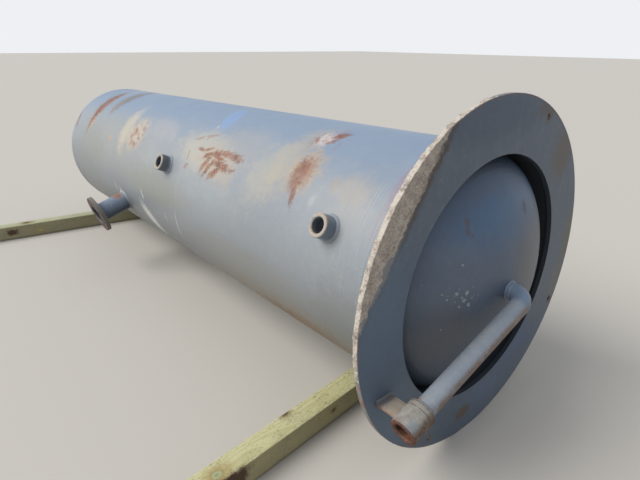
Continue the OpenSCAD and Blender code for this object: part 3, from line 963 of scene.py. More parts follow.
pipe_r = 0.03015
elbow_x = 0.093
elbow_out = 0.051
half_bead = 0.0034
drain_x = middle("drain_coupling").x
head_pole = 0.084
head_deep = 0.224
dome_r = 0.4465


def dome_x(radius):
    """How far along the near head's surface lies at a radius."""
    return head_pole - head_deep * (1 - math.sqrt(1 - (radius / dome_r) ** 2))


stub_weld = hoop((dome_x(0.03) - 0.001, pipe_r - bite), (dome_x(0.0357) - bite, 0.0357),
                 (dome_x(pipe_r) + 0.0055, pipe_r - bite), 0.001)
weld("drain_stub_bead", [stub_weld], ["drain_weld"], shell_finish, crown=0.0006, ripple=0.0005)

elbow_start = hoop((elbow_x, pipe_r - 0.003), (elbow_x - half_bead, pipe_r - bite / 2),
                   (elbow_x + half_bead, pipe_r - bite / 2), 0.001)
elbow_end = collar(out_axes, drain_x, (elbow_out, pipe_r - 0.003),
                   (elbow_out - half_bead, pipe_r - bite / 2), (elbow_out + half_bead, pipe_r - bite / 2),
                   0.001, 0.005)
weld("elbow_beads", [elbow_start, elbow_end], ["elbow_welds"], shell_finish, crown=0.0013, ripple=0.0005)

sleeve_back = 0.536
sleeve_bar = collar(out_axes, drain_x, (sleeve_back + bite, pipe_r - bite),
                    (sleeve_back - 0.0089, pipe_r - bite / 2), (sleeve_back + bite, 0.039), 0.001)
weld("sleeve_bead", [sleeve_bar], ["sleeve_weld"], shell_finish, crown=0.0006, ripple=0.0006)

bracket_turn = math.radians(161.7)
bracket_wide = 0.066
bracket_thick = 0.008
plate = out_axes @ Matrix.Translation((0, 0.579, 0.039)) @ Matrix.Rotation(bracket_turn, 4, "X")
plate_bars = []
for level, way in ((0, 1), (-bracket_thick, -1)):
    joints = []
    for k in range(45):
        y = bracket_wide * k / 44
        corner = Vector((-bite, y, level - way * bite))
        joints.append([plate @ corner, plate @ Vector((-bite, y, level + way * 0.008)),
                       plate @ Vector((0.008, y, level - way * bite))])
    plate_bars.append(bar(joints, closed=False))
weld("bracket_beads", plate_bars, ["bracket_welds"], shell_finish, crown=0.0008, ripple=0.0008)

# %% [markdown]
# The three couplings are threaded inside, as a pipe fitting is. A thread is one ridge that winds
# down the bore, and a spiral curve with a small diamond profile is just that. Its pitch is 2.2 mm,
# that of the common tapered pipe thread of this size, and only as much is made as can be seen.

# %% Threads


def thread_group():
    """A ridge that winds round Z, from a spiral and a diamond profile."""
    g, i, end = geometry_group("pipe thread", [("Geometry", "g"), ("Radius", "f"), ("Pitch", "f"),
                                               ("Turns", "f"), ("Ridge", "f"), ("Material", "m")])
    spiral = g.add("GeometryNodeCurveSpiral", {
        "Resolution": 48, "Rotations": i["Turns"], "Start Radius": i["Radius"],
        "End Radius": i["Radius"], "Height": g.times(i["Turns"], i["Pitch"])})
    diamond = g.add("GeometryNodeCurvePrimitiveCircle", {"Resolution": 4, "Radius": i["Ridge"]})
    ridge = g.add("GeometryNodeCurveToMesh", {"Curve": spiral, "Profile Curve": diamond,
                                              "Fill Caps": True})
    return close_tree(g, end, ridge, i["Material"])


thread_tree = thread_group()
thread_r = 0.0279
pitch = 0.0022
ridge_r = 0.00115
first_turn = 0.004
coupling_mouth = 0.512
sleeve_mouth = 0.622


def thread(name, clock, along, mouth, turns, material):
    """A thread in the bore of a coupling, from a little inside its mouth inward."""
    blank = bpy.data.meshes.new(name + "_blank")
    piece = grown(name, blank, thread_tree, Radius=thread_r, Pitch=pitch, Turns=float(turns),
                  Ridge=ridge_r, Material=material)
    # the spiral climbs along Z, and the bore runs along Y
    lay = clocked(clock) @ Matrix.Translation((along, mouth - first_turn - turns * pitch, 0))
    piece.data.transform(lay @ Matrix.Rotation(-math.pi / 2, 4, "X"))
    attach(piece, "root")
    return piece


fit_clock = clock_of("near_coupling")
for name in ("near_coupling", "far_coupling"):
    thread(name + "_thread", fit_clock, middle(name).x, coupling_mouth, 14, shell_finish)
thread("drain_thread", out_clock, drain_x, sleeve_mouth, 19, shell_finish)

# %% [markdown]
# The ring stood in wet ground at some time, on one side. A crescent of mud has dried on its face
# there, cut off straight where the puddle's surface was, and a crust clings to the rim next to it.
# The mud has thickness, so it is a closed skin over the steel: a fine grid that follows the face,
# turns over the edge and goes along the rim. Where a noise says that there is no mud, the grid
# dips below the steel, and where it comes up again is the ragged shoreline.

# %% Dried mud on the ring
# the puddle's surface: the way to it from the ring's middle, and how far it is
shore = Vector((0, -0.831, 0.557))
shore_far = 0.549
# the bolt hole that the mud has filled
plug_clock = math.radians(154.6)
bolt_circle = 0.5865
plug = Vector((bolt_circle * math.cos(plug_clock), bolt_circle * math.sin(plug_clock)))
# the grid over the ring's face, in metres outward and in degrees round
grid_in, grid_step, grid_rings = 0.528, 0.0022, 42
first_clock, clock_step, clock_steps = 96, 0.22, 430
# the rim has its crust between these clock angles
crust_from, crust_to = 98, 189


def mud_depth(spot, on_rim, angle):
    """Thickness of the mud there, in metres. Below zero there is none."""
    lumps = noise.fractal(spot * 60, 0.7, 2.0, 5)
    fine = noise.fractal(spot * 190, 0.7, 2.0, 4)
    if on_rim:
        clock = math.degrees(angle)
        inside = min(clock - crust_from, crust_to - clock) / 7
        clumps = max(0.0, noise.fractal(spot * 34, 0.8, 2.0, 4) - 0.15)
        crust = 0.0014 * min(1.0, inside + 1.2 * lumps) + 0.0012 * fine + 0.0009 * lumps
        return crust + 0.0060 * clumps * min(1.0, max(0.0, inside))
    sway = noise.fractal(spot * 11, 0.8, 2.0, 3)
    inside = (spot.dot(shore) - shore_far + 0.012 * sway) / 0.012
    deep = 0.0010 * min(1.0, inside + 0.6 * lumps) + 0.0003 * fine + 0.0003 * lumps
    hole = (plug - spot.yz).length
    return deep - 0.0014 * max(0.0, 1 - hole / 0.013)


def mud_grid():
    """Points and faces of the skin, and how thick it is at each point."""
    # each place across the skin: radius, place along the tank, and the way out of the steel
    across_it = [(grid_in + grid_step * k, 0.0, (1, 0)) for k in range(grid_rings)]
    across_it += [(ring_r, 0.0, (0.9, 0.45)), (ring_r, 0.0, (0.45, 0.9))]
    across_it += [(ring_r, -0.0024 * k, (0, 1)) for k in range(1, 8)]
    turns = [math.radians(first_clock + clock_step * k) for k in range(clock_steps)]
    top, low, thick = [], [], []
    for angle in turns:
        way = Vector((0, math.cos(angle), math.sin(angle)))
        for radius, x, (flat, outward) in across_it:
            spot = Vector((x, 0, 0)) + way * min(radius, ring_r)
            deep = mud_depth(spot, outward > 0.5, angle)
            deep = max(deep, -0.0005)
            normal = (Vector((1, 0, 0)) * flat + way * outward).normalized()
            hole = (plug - spot.yz).length
            top.append(from_tank @ (spot + normal * deep))
            low.append(from_tank @ (spot - normal * (0.010 if hole < 0.0105 else 0.0011)))
            thick.append(deep)
    rows, row, count = len(turns), len(across_it), len(top)
    faces = []
    for a in range(rows - 1):
        for b in range(row - 1):
            k = a * row + b
            faces.append((k, k + 1, k + row + 1, k + row))
            faces.append((count + k, count + k + row, count + k + row + 1, count + k + 1))
    rim = [a * row for a in range(rows)] + [(rows - 1) * row + b for b in range(1, row)]
    rim += [a * row + row - 1 for a in range(rows - 2, -1, -1)] + list(range(row - 2, 0, -1))
    for a, b in zip(rim, rim[1:] + rim[:1]):
        faces.append((a, b, count + b, count + a))
    return top + low, faces, thick + [-1.0] * count


points, faces, thick = mud_grid()
skin = mesh_of("mud_skin", points, faces)
give(skin, "thick", thick)
print("points in the skin of mud:", len(points))

# %% [markdown]
# Dried mud is crumbly. A geometry tree scatters small clods over the skin wherever the mud is thick
# enough to hold them, in bunches and each of its own size. The finish mixes three grey-beiges, then
# speckles them with pale and dark grit, and rust comes through the thin crust on the rim.

# %% Clods and the mud's finish


def clod_group():
    """Scatters small clods over a skin wherever its attribute thick is above a limit."""
    g, i, end = geometry_group("clods", [("Geometry", "g"), ("Density", "f"), ("Size", "f"),
                                         ("Seed", "i"), ("Material", "m")])
    enough = g.add("FunctionNodeCompare", {0: g.named("thick"), 1: 0.0004}, data_type="FLOAT",
                   operation="GREATER_THAN")
    bunches = g.rise(g.noise(g.add("GeometryNodeInputPosition"), 45, 3, 0.6), 0.50, 0.68)
    points = g.add("GeometryNodeDistributePointsOnFaces", {
        "Mesh": i["Geometry"], "Selection": enough, "Density": g.times(bunches, i["Density"]),
        "Seed": i["Seed"]})
    clod = g.add("GeometryNodeMeshIcoSphere", {"Radius": i["Size"], "Subdivisions": 1})
    size = g.add("FunctionNodeRandomValue", {"Min": (0.4, 0.4, 0.3), "Max": (1.6, 1.3, 0.9),
                                             "Seed": i["Seed"]}, data_type="FLOAT_VECTOR")
    roll = g.add("FunctionNodeRandomValue", {"Min": (0, 0, 0), "Max": (6.28, 6.28, 6.28),
                                             "Seed": g.plus(i["Seed"], 7.0)},
                 data_type="FLOAT_VECTOR")
    set_down = g.add("GeometryNodeInstanceOnPoints", {"Points": points, "Instance": clod,
                                                      "Rotation": roll, "Scale": size})
    both = g.add("GeometryNodeJoinGeometry", {}, out=None)
    g.tree.links.new(set_down, both.inputs[0])
    g.tree.links.new(i["Geometry"], both.inputs[0])
    return close_tree(g, end, both.outputs[0], i["Material"])


def mud_finish():
    """Dried grey-beige mud with grit in it and rust that has come through on the rim."""
    f = Finish("dried_mud")
    n = f.nodes
    coarse, grit = n.noise(f.place, 30, 6, 0.7), n.noise(f.place, 420, 3, 0.6)
    f.colour = n.ramp(coarse, (0.30, rgb(132, 123, 114)), (0.5, rgb(162, 152, 142)),
                      (0.7, rgb(186, 176, 163)))
    f.rough, f.height = n.between(grit, 0.85, 0.95), n.plus(coarse, grit)
    rim = n.rise(f.axes[0], 0.0004, -0.0006)
    f.coat(f.both(rim, n.rise(coarse, 0.36, 0.56)), rgb(206, 198, 188), strength=0.7)
    pebbles = n.noise(f.place, 150, 4, 0.75)
    for speckle, low, high, colour, strength in (
            (pebbles, 0.56, 0.66, rgb(212, 204, 192), 0.7), (pebbles, 0.43, 0.34, rgb(84, 74, 68), 0.75),
            (grit, 0.60, 0.68, rgb(206, 198, 184), 0.6), (grit, 0.38, 0.32, rgb(92, 80, 70), 0.6)):
        f.coat(n.rise(speckle, low, high), colour, strength=strength)
    seep = n.rise(n.noise(f.place, 55, 5, 0.7), 0.56, 0.66)
    f.rust(f.both(rim, seep), 0.8, strength=0.7)
    return f.done(0.0005)


mud = grown("ring_mud", skin, clod_group(), Density=44000.0, Size=0.0014, Seed=5, Material=mud_finish())
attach(mud, "root")

# %% [markdown]
# The timbers are squared pine, pressure treated, which leaves the wood a pale yellow-green. Each
# one is rebuilt as a fine bar in the place of the frame's. The saw left it a little wavy and its
# corners are worn, so a geometry tree moves the surface inward by noise, more at the corners.
#
# Grain is the cut through a tree's growth rings. The shader has those rings in space, round a pith
# that runs along the timber and wanders, so the sides show long grain and the ends show arcs from
# the same few nodes, and they meet at the corners.

# %% Timber surface


def saw_group():
    """Wears a bar inward: a slow wave all over and more at its corners."""
    g, i, end = geometry_group("sawn timber", [("Geometry", "g"), ("Wave", "f"), ("Wear", "f"),
                                               ("Material", "m")])
    inward, corner = g.named("inward", "FLOAT_VECTOR"), g.named("corner")
    place = g.add("GeometryNodeInputPosition")
    slow = g.noise(place, 9, 3, 0.5)
    bites = g.rise(g.noise(place, 16, 4, 0.6), 0.52, 0.75)
    deep = g.plus(g.times(slow, i["Wave"]), g.times(bites, corner, i["Wear"]))
    return close_tree(g, end, push(g, i["Geometry"], inward, deep), i["Material"])


def grain_group():
    """Growth rings round a wandering pith. Rings is 1 in the dark late wood."""
    g, i, end = shader_group("wood grain", [("Place", "v", None), ("Pith", "v", None),
                                            ("Ring", "f", 0.006)], [("Rings", "f"), ("Fibre", "f")])
    wander = g.add("ShaderNodeTexNoise", {"Vector": g.stretch(i["Place"], (2, 1.1, 2)), "Scale": 1.0,
                                          "Detail": 2.0}, out="Color")
    wander = g.scaled(g.vector("SUBTRACT", wander, (0.5, 0.5, 0.5)), 0.09)
    spot = g.vector("SUBTRACT", g.vector("ADD", i["Place"], wander), i["Pith"])
    # the pith runs along Y, so the distance from it leaves Y out
    out = g.length(g.vector("MULTIPLY", spot, (1, 0, 1)))
    out = g.plus(out, g.times(g.noise(g.stretch(i["Place"], (30, 3, 30)), 1, 3), 0.006))
    phase = g.math("FRACT", g.math("DIVIDE", out, i["Ring"]))
    rings = g.times(g.rise(phase, 0.45, 0.9), g.rise(phase, 1.0, 0.94))
    fibre = g.noise(g.stretch(i["Place"], (520, 9, 520)), 1.0, 4, 0.6)
    return finish_group(g, end, Rings=rings, Fibre=fibre)


saw_tree = saw_group()
grain_tree = grain_group()

# %% [markdown]
# The pine's finish goes from the inside out. First come the wood's own two tones, then the dark late
# wood of each ring and the fibres, then the green pepper that the treatment left, the saw's marks,
# painted shade on the sides, a darker tone low down and dirt on the ends. Knots and stains come last,
# where they are on the real ones.

# %% Treated pine
# half of a timber's width, height and length
wide, tall, long_half = 0.045, 0.050, 1.219


def timber_frame(node, turned):
    """The matrix from a timber's own axes, X across, Y along and Z up, to the row frame."""
    low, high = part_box(node)
    centre = (Vector(low) + Vector(high)) / 2
    return Matrix.Translation(centre) @ Matrix.Rotation(math.radians(turned), 4, "Z")


def knots(f, marks):
    """Lays knots and stains on a timber. marks are (centre, size, kind) in mm."""
    for centre, size, kind in marks:
        if kind == "stain":
            spill = f.blob(centre, size, 0.9)
            f.coat(spill["Halo"], rgb(98, 72, 56), 0.8, strength=0.8)
            f.coat(spill["Core"], rgb(64, 42, 32), 0.8, strength=0.75)
            continue
        around, core = f.blob(centre, size, 0.6), f.blob(centre, [c * 0.5 for c in size], 0.5)
        if kind == "knot":
            f.coat(around["Halo"], rgb(164, 142, 92), height=0.6, strength=0.7)
            f.coat(core["Halo"], rgb(146, 122, 76), height=0.5, strength=0.6)
            f.coat(core["Core"], rgb(164, 178, 140), strength=0.75)
            f.stain(centre, [c * 0.14 for c in size], 0.9, rgb(124, 122, 84), strength=0.5)
        else:
            f.coat(around["Halo"], rgb(128, 104, 60), height=0.6, strength=0.7)
            f.coat(core["Halo"], rgb(84, 66, 44), height=-1.0, strength=0.9)


def pine(name, node, turned, shade, pith, marks):
    """Treated pine in a timber's own axes, and those axes."""
    axes = timber_frame(node, turned)
    f = Finish(name, axes.translation, (0, 0, math.radians(turned)))
    n = f.nodes
    grain = f.effect(grain_tree, Pith=pith, Ring=0.0072)
    pale, deep, late_wood = [rgb(*colour) for colour in shade]
    tone = n.noise(n.stretch(f.place, (7, 1.5, 7)), 1.0, 4, 0.6)
    f.colour = n.mix(n.rise(tone, 0.3, 0.7), pale, deep)
    f.rough, f.height = n.between(tone, 0.75, 0.88), grain["Fibre"]
    f.coat(grain["Rings"], late_wood, height=0.35, strength=0.34)
    f.coat(n.rise(grain["Fibre"], 0.55, 0.75), late_wood, height=-0.6, strength=0.4)
    pepper = n.rise(n.noise(n.stretch(f.place, (230, 110, 230)), 1.0, 3, 0.6), 0.56, 0.64)
    bunches = n.rise(n.noise(f.place, 12, 4, 0.6), 0.34, 0.54)
    f.coat(f.both(pepper, bunches), rgb(104, 112, 78), strength=0.75)
    f.coat(n.rise(n.noise(f.place, 6, 5, 0.7), 0.56, 0.74), rgb(126, 128, 112), strength=0.35)
    saw = n.add("ShaderNodeTexWave", {"Vector": f.place, "Scale": 95.0, "Distortion": 3.0, "Detail": 2.0},
                out="Fac", wave_type="BANDS", bands_direction="Y")
    f.height = n.plus(f.height, n.times(saw, 0.35))
    # painted shade: the timber's sides are darker and browner than its top
    f.coat(n.rise(n.math("ABSOLUTE", f.upward), 0.7, 0.3), rgb(118, 106, 78), strength=0.55)
    # darker towards the bottom
    low_side = n.rise(f.axes[2], 0.020 - tall, -tall)
    f.coat(low_side, rgb(108, 96, 78), 0.9, strength=0.6)
    end_side = n.rise(n.math("ABSOLUTE", f.axes[1]), long_half - 0.002, long_half - 0.0005)
    f.coat(end_side, rgb(150, 132, 92), 0.9, strength=0.5)
    checks = n.noise(n.stretch(f.place, (36, 1, 90)), 1.0, 3, 0.6)
    f.coat(f.both(end_side, n.rise(checks, 0.66, 0.70)), rgb(60, 48, 34), height=-2.0)
    knots(f, marks)
    return f.done(0.0006), axes


near_shade = ((206, 202, 160), (192, 188, 142), (164, 154, 106))
far_shade = ((190, 188, 158), (172, 172, 140), (134, 130, 100))
near_marks = [((10, -905, 50), (60, 84, 30), "knot"), ((-40, -570, 46), (30, 50, 40), "dark knot"),
              ((45, -395, 10), (22, 30, 24), "dark knot"), ((45, -865, 20), (26, 110, 84), "stain"),
              ((5, 420, 50), (50, 80, 30), "dark knot"), ((-45, 300, 0), (20, 70, 40), "knot"),
              ((45, 760, -5), (26, 60, 40), "knot"), ((-10, 880, 50), (40, 60, 30), "dark knot")]
far_marks = [((0, -900, 50), (50, 80, 30), "dark knot"), ((45, -1000, 5), (22, 70, 40), "stain"),
             ((45, -820, -10), (22, 60, 34), "knot"), ((-45, 500, 10), (22, 60, 34), "knot"),
             ((10, 640, 50), (46, 80, 30), "knot"), ((45, 900, 0), (24, 90, 50), "stain")]
pines = {}
for name, node, turned, shade, pith, marks in (
        ("near_pine", "near_timber", 5.3, near_shade, (0.03, 0, -0.06), near_marks),
        ("far_pine", "far_timber", -8.3, far_shade, (-0.05, 0, 0.04), far_marks)):
    pines[node] = pine(name, node, turned, shade, pith, marks)

# %% [markdown]
# The bar itself is one outline with round corners, set down two hundred times along the timber, a
# little smaller at both ends for the sharp edge that a saw's cut loses first. Each point knows the
# way out of the wood and how near a corner it is, and the tree above wears the bar by those two.

# %% Sawn timbers


def sawn_outline(round_r):
    """Points round a timber's end: each one's place, the way out there and how near a corner it is."""
    loop = []
    for cx, cz, start in ((1, 1, 0), (-1, 1, 90), (-1, -1, 180), (1, -1, 270)):
        centre = Vector((cx * (wide - round_r), 0, cz * (tall - round_r)))
        for k in range(4):
            a = math.radians(start + 30 * k)
            way = Vector((math.cos(a), 0, math.sin(a)))
            loop.append((centre + way * round_r, way, 1.0))
        # from this corner to the next: the top and the underside run across, the two sides up or down
        runs_across = start in (0, 180)
        way = Vector((0, 0, cz)) if runs_across else Vector((cx, 0, 0))
        for k in range(1, 6):
            t = 1 - k / 3
            if runs_across:
                spot = Vector((cx * t * (wide - round_r), 0, cz * tall))
            else:
                spot = Vector((cx * wide, 0, cz * t * (tall - round_r)))
            loop.append((spot, way, max(0.0, abs(t) * 3 - 2)))
    return loop


def timber(name, node, material, axes):
    """A fine bar in the place of the frame's timber."""
    loop = sawn_outline(0.004)
    end_cut, steps = 0.002, 200
    inner_half = long_half - end_cut
    stations = [-long_half, -inner_half]
    stations += [-inner_half + 2 * inner_half * k / steps for k in range(1, steps)]
    stations += [inner_half, long_half]
    points, inward, corner, faces = [], [], [], []
    turn_only = axes.to_3x3()
    for k, y in enumerate(stations):
        shrink = 0.0015 if k in (0, len(stations) - 1) else 0.0
        for spot, way, worn_here in loop:
            points.append(axes @ (spot - way * shrink + Vector((0, y, 0))))
            inward.append(-(turn_only @ way))
            corner.append(worn_here)
    row = len(loop)
    for a in range(len(stations) - 1):
        for b in range(row):
            c = (b + 1) % row
            faces.append((a * row + b, a * row + c, (a + 1) * row + c, (a + 1) * row + b))
    faces.append(tuple(range(row)))
    faces.append(tuple(range(len(points) - row, len(points))))
    mesh = mesh_of(name + "_bar", points, faces)
    give(mesh, "inward", inward)
    give(mesh, "corner", corner)
    piece = grown(name, mesh, saw_tree, Wave=0.0009, Wear=0.0035, Material=material)
    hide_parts(node)
    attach(piece, "root")
    return piece


for node, (material, axes) in pines.items():
    timber(node + "_sawn", node, material, axes)

# %% [markdown]
# The ring and the near head are given a darker blue-grey than the shell, which is painted shade, as
# they face away from the light. The ring's face is nearly clean beyond the mud, with a brown tide line
# beside it and a few stains near its right edge, and its bore is darkened with painted shade. The head
# has kept its gloss, with a painted sky reflection on top and painted shade low down and round its
# rim; stones have chipped it to white in one place, and a brown haze lies on its right side.

# %% Ring paint
ring_hole_r = skirt_inner - 0.011


def ring_paint():
    """Primer darkened as painted shade, with a tide line, stains and a worn rim."""
    f = Finish("ring_primer")
    n = f.nodes
    # painted shade: the ring's primer is darker and bluer than the shell's
    f.primer(rgb(84, 96, 111), rgb(76, 88, 103), dust=0.2, specks=0.6, texture=0.45)
    height = n.vector("DOT_PRODUCT", f.place, shore, out="Value")
    ragged = n.times(n.math("SUBTRACT", f.edge, 0.5), 0.07)
    height = n.plus(height, ragged)
    tide = n.math("SUBTRACT", 1.0, n.rise(f.axes[2], 0.20, 0.36))
    f.coat(n.rise(height, shore_far - 0.035, shore_far - 0.013), rgb(84, 74, 64), 0.8, strength=0.85)
    film = n.rise(n.plus(height, n.times(tide, 0.012)), shore_far - 0.011, shore_far + 0.003)
    f.coat(film, rgb(150, 140, 130), 0.9, strength=0.85)
    out = f.off_axis()
    for centre, size, colour, strength in (
            ((0, 405, 382), (90, 120, 150), rgb(110, 100, 84), 0.6),
            ((0, 585, 20), (90, 60, 190), rgb(122, 116, 96), 0.6),
            ((0, 565, -180), (90, 90, 160), rgb(126, 122, 108), 0.5),
            ((0, -51, -530), (90, 74, 40), rgb(98, 74, 52), 0.75),
            ((0, -540, -120), (90, 240, 760), rgb(90, 110, 130), 0.5),
            ((0, -100, 560), (90, 520, 130), rgb(70, 80, 96), 0.4),
            ((0, 250, -360), (90, 300, 120), rgb(88, 104, 134), 0.4),
            ((0, 100, -500), (90, 160, 90), rgb(92, 110, 142), 0.35),
            ((0, 250, 560), (90, 120, 50), rgb(108, 90, 74), 0.45)):
        f.stain(centre, size, 0.55, colour, 0.7, strength)
    for bolt_hole in ((252, 530), (531, -252), (-252, -531)):
        f.stain((0, *bolt_hole), (90, 32, 32), 0.4, rgb(112, 92, 74), 0.8, 0.5)
    edge_band = n.rise(out, ring_r - 0.008, ring_r - 0.001)
    f.rust(f.broken(edge_band, 0.46, 0.60), 0.4, strength=0.7)
    side = n.rise(out, ring_r - 0.0014, ring_r - 0.0008)
    f.coat(side, rgb(150, 146, 136), 0.8, strength=0.55)
    f.rust(f.both(side, n.rise(n.noise(f.place, 40, 5, 0.7), 0.50, 0.62)), 0.6, strength=0.85)
    f.worn(rgb(158, 148, 132), 0.003, 0.7, 0.8)
    # painted shade on the ring's bore, in the recess round the head
    f.coat(n.rise(out, ring_hole_r + 0.0012, ring_hole_r + 0.0008), rgb(46, 50, 54), 0.8, strength=0.85)
    return f.done(0.0006, 0.0012)


ring_finish = ring_paint()

# %% Head paint


def head_paint():
    """Smooth primer darkened as painted shade, with a painted reflection, chips, brown spots and a haze."""
    f = Finish("head_primer")
    n = f.nodes
    # painted shade: the head's primer is darker and bluer than the shell's
    f.primer(rgb(86, 98, 115), rgb(77, 89, 106), dust=0.1, specks=0.3, texture=0.2)
    f.stain((60, 150, 110), (300, 190, 380), 0.3, rgb(98, 92, 80), 0.45, 0.42)
    # painted reflection: a blue sky highlight over the upper part of the head
    f.stain((40, 0, 320), (300, 520, 260), 0.3, rgb(54, 98, 138), 0.4, 0.45)
    # painted shade along the head's top edge, tinted blue
    f.coat(n.rise(f.axes[2], 0.34, 0.44), rgb(24, 36, 52), strength=0.6)
    f.stain((30, 330, -60), (300, 150, 420), 0.4, rgb(122, 112, 98), 0.5, 0.35)
    for y, z, size in ((-188, 262, 17), (-194, 238, 13), (-180, 224, 9), (107, 255, 26)):
        f.stain((20, y, z), (90, size, size * 1.4), 0.7, rgb(94, 74, 66), 0.7, 0.55)
    # painted shade: the head darkens towards the bottom
    f.coat(n.rise(f.axes[2], 0.10, -0.36), rgb(42, 51, 60), strength=0.58)
    sprayed = n.rise(n.noise(f.place, 95, 2, 0.5), 0.66, 0.72)
    f.coat(f.both(sprayed, f.blob((40, -215, 48), (200, 120, 110), 0.3)["Halo"]), rgb(150, 156, 160), 0.6,
           strength=0.7)
    f.stain((30, -285, -70), (300, 190, 200), 0.5, rgb(96, 90, 80), strength=0.32)
    chips = 0.0
    for y, z, size in ((-248, 57, 13), (-212, 52, 12), (-221, 28, 13), (-204, 10, 11), (-229, 40, 8),
                       (-253, 31, 8), (-237, 11, 8), (-280, 43, 7), (-296, 62, 6), (-191, 31, 7),
                       (-240, 70, 7), (-226, 144, 9), (-350, 100, 9), (-167, 35, 7), (-288, -60, 6)):
        chips = n.math("MAXIMUM", chips, f.blob((50, y, z), (160, size, size), 1.4)["Core"])
    f.coat(chips, rgb(150, 156, 160), 0.6, -0.6, strength=0.75)
    f.coat(f.patch(-20, 95, 60, 500, 0, 0.5, dome_r)["Halo"], rgb(92, 84, 76), 0.7, strength=0.35)
    # painted shade round the head's rim, deep inside the skirt
    gap_shade = n.rise(f.axes[0], -0.060, -0.125)
    f.coat(gap_shade, rgb(38, 38, 38), 0.9, strength=0.92)
    return f.done(0.0005)


head_finish = head_paint()

# %% [markdown]
# The fittings stand out of the shell and are knocked about more. Their paint is rubbed off the
# sharp rims, which a shader can find by comparing the true normal with one rounded over a few
# millimetres. The steel in their threads was never painted; it is dark, oily and a little rusty.

# %% Couplings


def turned_finish(name, clock):
    """A finish in axes whose Y points out of the tank at that clock angle."""
    return Finish(name, ring_centre, (math.radians(clock), -tilt, 0))


def fitting_paint(name, clock, light, dark, rub, dust=0.25):
    """Primer for a fitting, rubbed off along its edges."""
    f = turned_finish(name, clock)
    f.primer(rgb(*light), rgb(*dark), dust=dust, specks=0.8)
    f.worn(rgb(*rub), 0.004, 0.9, 0.95)
    return f


def coupling_paint():
    """The two couplings on the shell, with painted shade on the far one."""
    f = fitting_paint("coupling_primer", fit_clock, (124, 134, 146), (104, 115, 128), (184, 176, 162))
    n = f.nodes
    mouth = n.rise(f.axes[1], coupling_mouth - 0.0035, coupling_mouth - 0.0015)
    f.coat(f.broken(mouth, 0.36, 0.5), rgb(178, 172, 160), 0.6, strength=0.85)
    rim = n.rise(f.axes[1], coupling_mouth - 0.012, coupling_mouth - 0.001)
    f.rust(f.broken(rim, 0.54, 0.62), 0.5, strength=0.7)
    near_rim = n.rise(f.axes[1], coupling_mouth - 0.020, coupling_mouth - 0.006)
    top_edge = f.both(near_rim, n.rise(f.upward, 0.30, 0.75))
    f.coat(f.broken(top_edge, 0.36, 0.5), rgb(176, 150, 124), 0.6, strength=0.8)
    f.coat(n.rise(f.axes[1], shell_r + 0.013, shell_r + 0.002), pale_primer, strength=0.7)
    # painted shade: the far one, which lies past 1.2 m from the ring, is darker between its weld and its
    # mouth
    far_coupling_shade = f.both(n.rise(f.axes[0], -1.00, -1.20), n.rise(f.axes[1], shell_r + 0.013, shell_r + 0.021),
                     n.rise(f.axes[1], coupling_mouth - 0.0035, coupling_mouth - 0.006))
    f.coat(f.broken(far_coupling_shade, 0.26, 0.40), rgb(74, 74, 72), 0.6, strength=0.65)
    return f.done(0.0005, 0.0006)


def bore_steel(name, clock, dark, light, rusted, fresh):
    """Oily dark steel for threads, that much of it rusted and that much of the rust orange."""
    f = turned_finish(name, clock)
    n = f.nodes
    f.colour = n.mix(n.noise(f.place, 60, 4, 0.6), rgb(*dark), rgb(*light))
    f.rough, f.height = n.between(n.noise(f.place, 90, 3, 0.6), 0.35, 0.6), n.noise(f.place, 300, 3, 0.6)
    f.rust(n.rise(f.edge, 0.44, 0.60), fresh, strength=rusted)
    f.shader.inputs["Metallic"].default_value = 0.35
    return f.done(0.0003)


coupling_finish = coupling_paint()

# %% [markdown]
# The nozzle is a short pipe with a forged flange. The pipe's underside is glossy and darkened with
# painted shade, its bore is darkened with painted shade too, and rust has come through where it
# leaves the shell. The flange's rim has lost paint all round, and its face has the fine grooves that
# a lathe leaves, which are drawn as a sine of the distance from the axis.

# %% Nozzle


def neck_paint():
    """The nozzle's pipe and flange."""
    f = fitting_paint("nozzle_primer", out_clock, (118, 130, 146), (96, 112, 134), (186, 178, 164))
    n = f.nodes
    # the neck runs along Y here, so the distance from its axis leaves Y out
    from_axis = n.vector("SUBTRACT", f.place, (nozzle_x, 0, 0))
    out = n.length(n.vector("MULTIPLY", from_axis, (1, 0, 1)))
    f.rust(f.blob((-2290, 500, -57), (60, 44, 60), 0.5)["Halo"], 0.9, strength=0.9)
    # painted shade: the neck's underside is darkened to a dark blue-grey
    f.coat(n.rise(f.upward, 0.3, -0.5), rgb(34, 46, 58), 0.35, strength=0.85)
    edge = n.rise(out, flange_r - 0.0013, flange_r - 0.0003)
    f.coat(edge, rgb(128, 121, 112), 0.75, strength=0.8)
    f.rust(f.broken(edge, 0.48, 0.60), 0.3, strength=0.7)
    behind = f.both(n.rise(f.axes[1], hub_back - 0.0067, hub_back - 0.0007), n.rise(out, 0.066, 0.070))
    f.coat(behind, rgb(98, 95, 90), 0.75, strength=0.6)
    front = n.rise(f.axes[1], flange_face - 0.0025, flange_face - 0.0015)
    f.rust(f.broken(front, 0.36, 0.52), 0.1, strength=0.5)
    # painted shade inside the neck's bore, near its mouth
    f.coat(f.both(n.rise(f.axes[1], 0.560, 0.640), n.rise(out, 0.0520, 0.0505)), rgb(48, 42, 38), 0.7,
           strength=0.9)
    # the flange's face is turned on a lathe, which leaves fine grooves
    groove_apart = 0.0008
    grooves = n.math("SINE", n.times(out, 2 * math.pi / groove_apart))
    face = n.rise(f.axes[1], flange_face - 0.0015, flange_face - 0.0002)
    f.height = n.plus(f.height, f.both(grooves, face))
    return f.done(0.0005, 0.0008)


nozzle_finish = neck_paint()

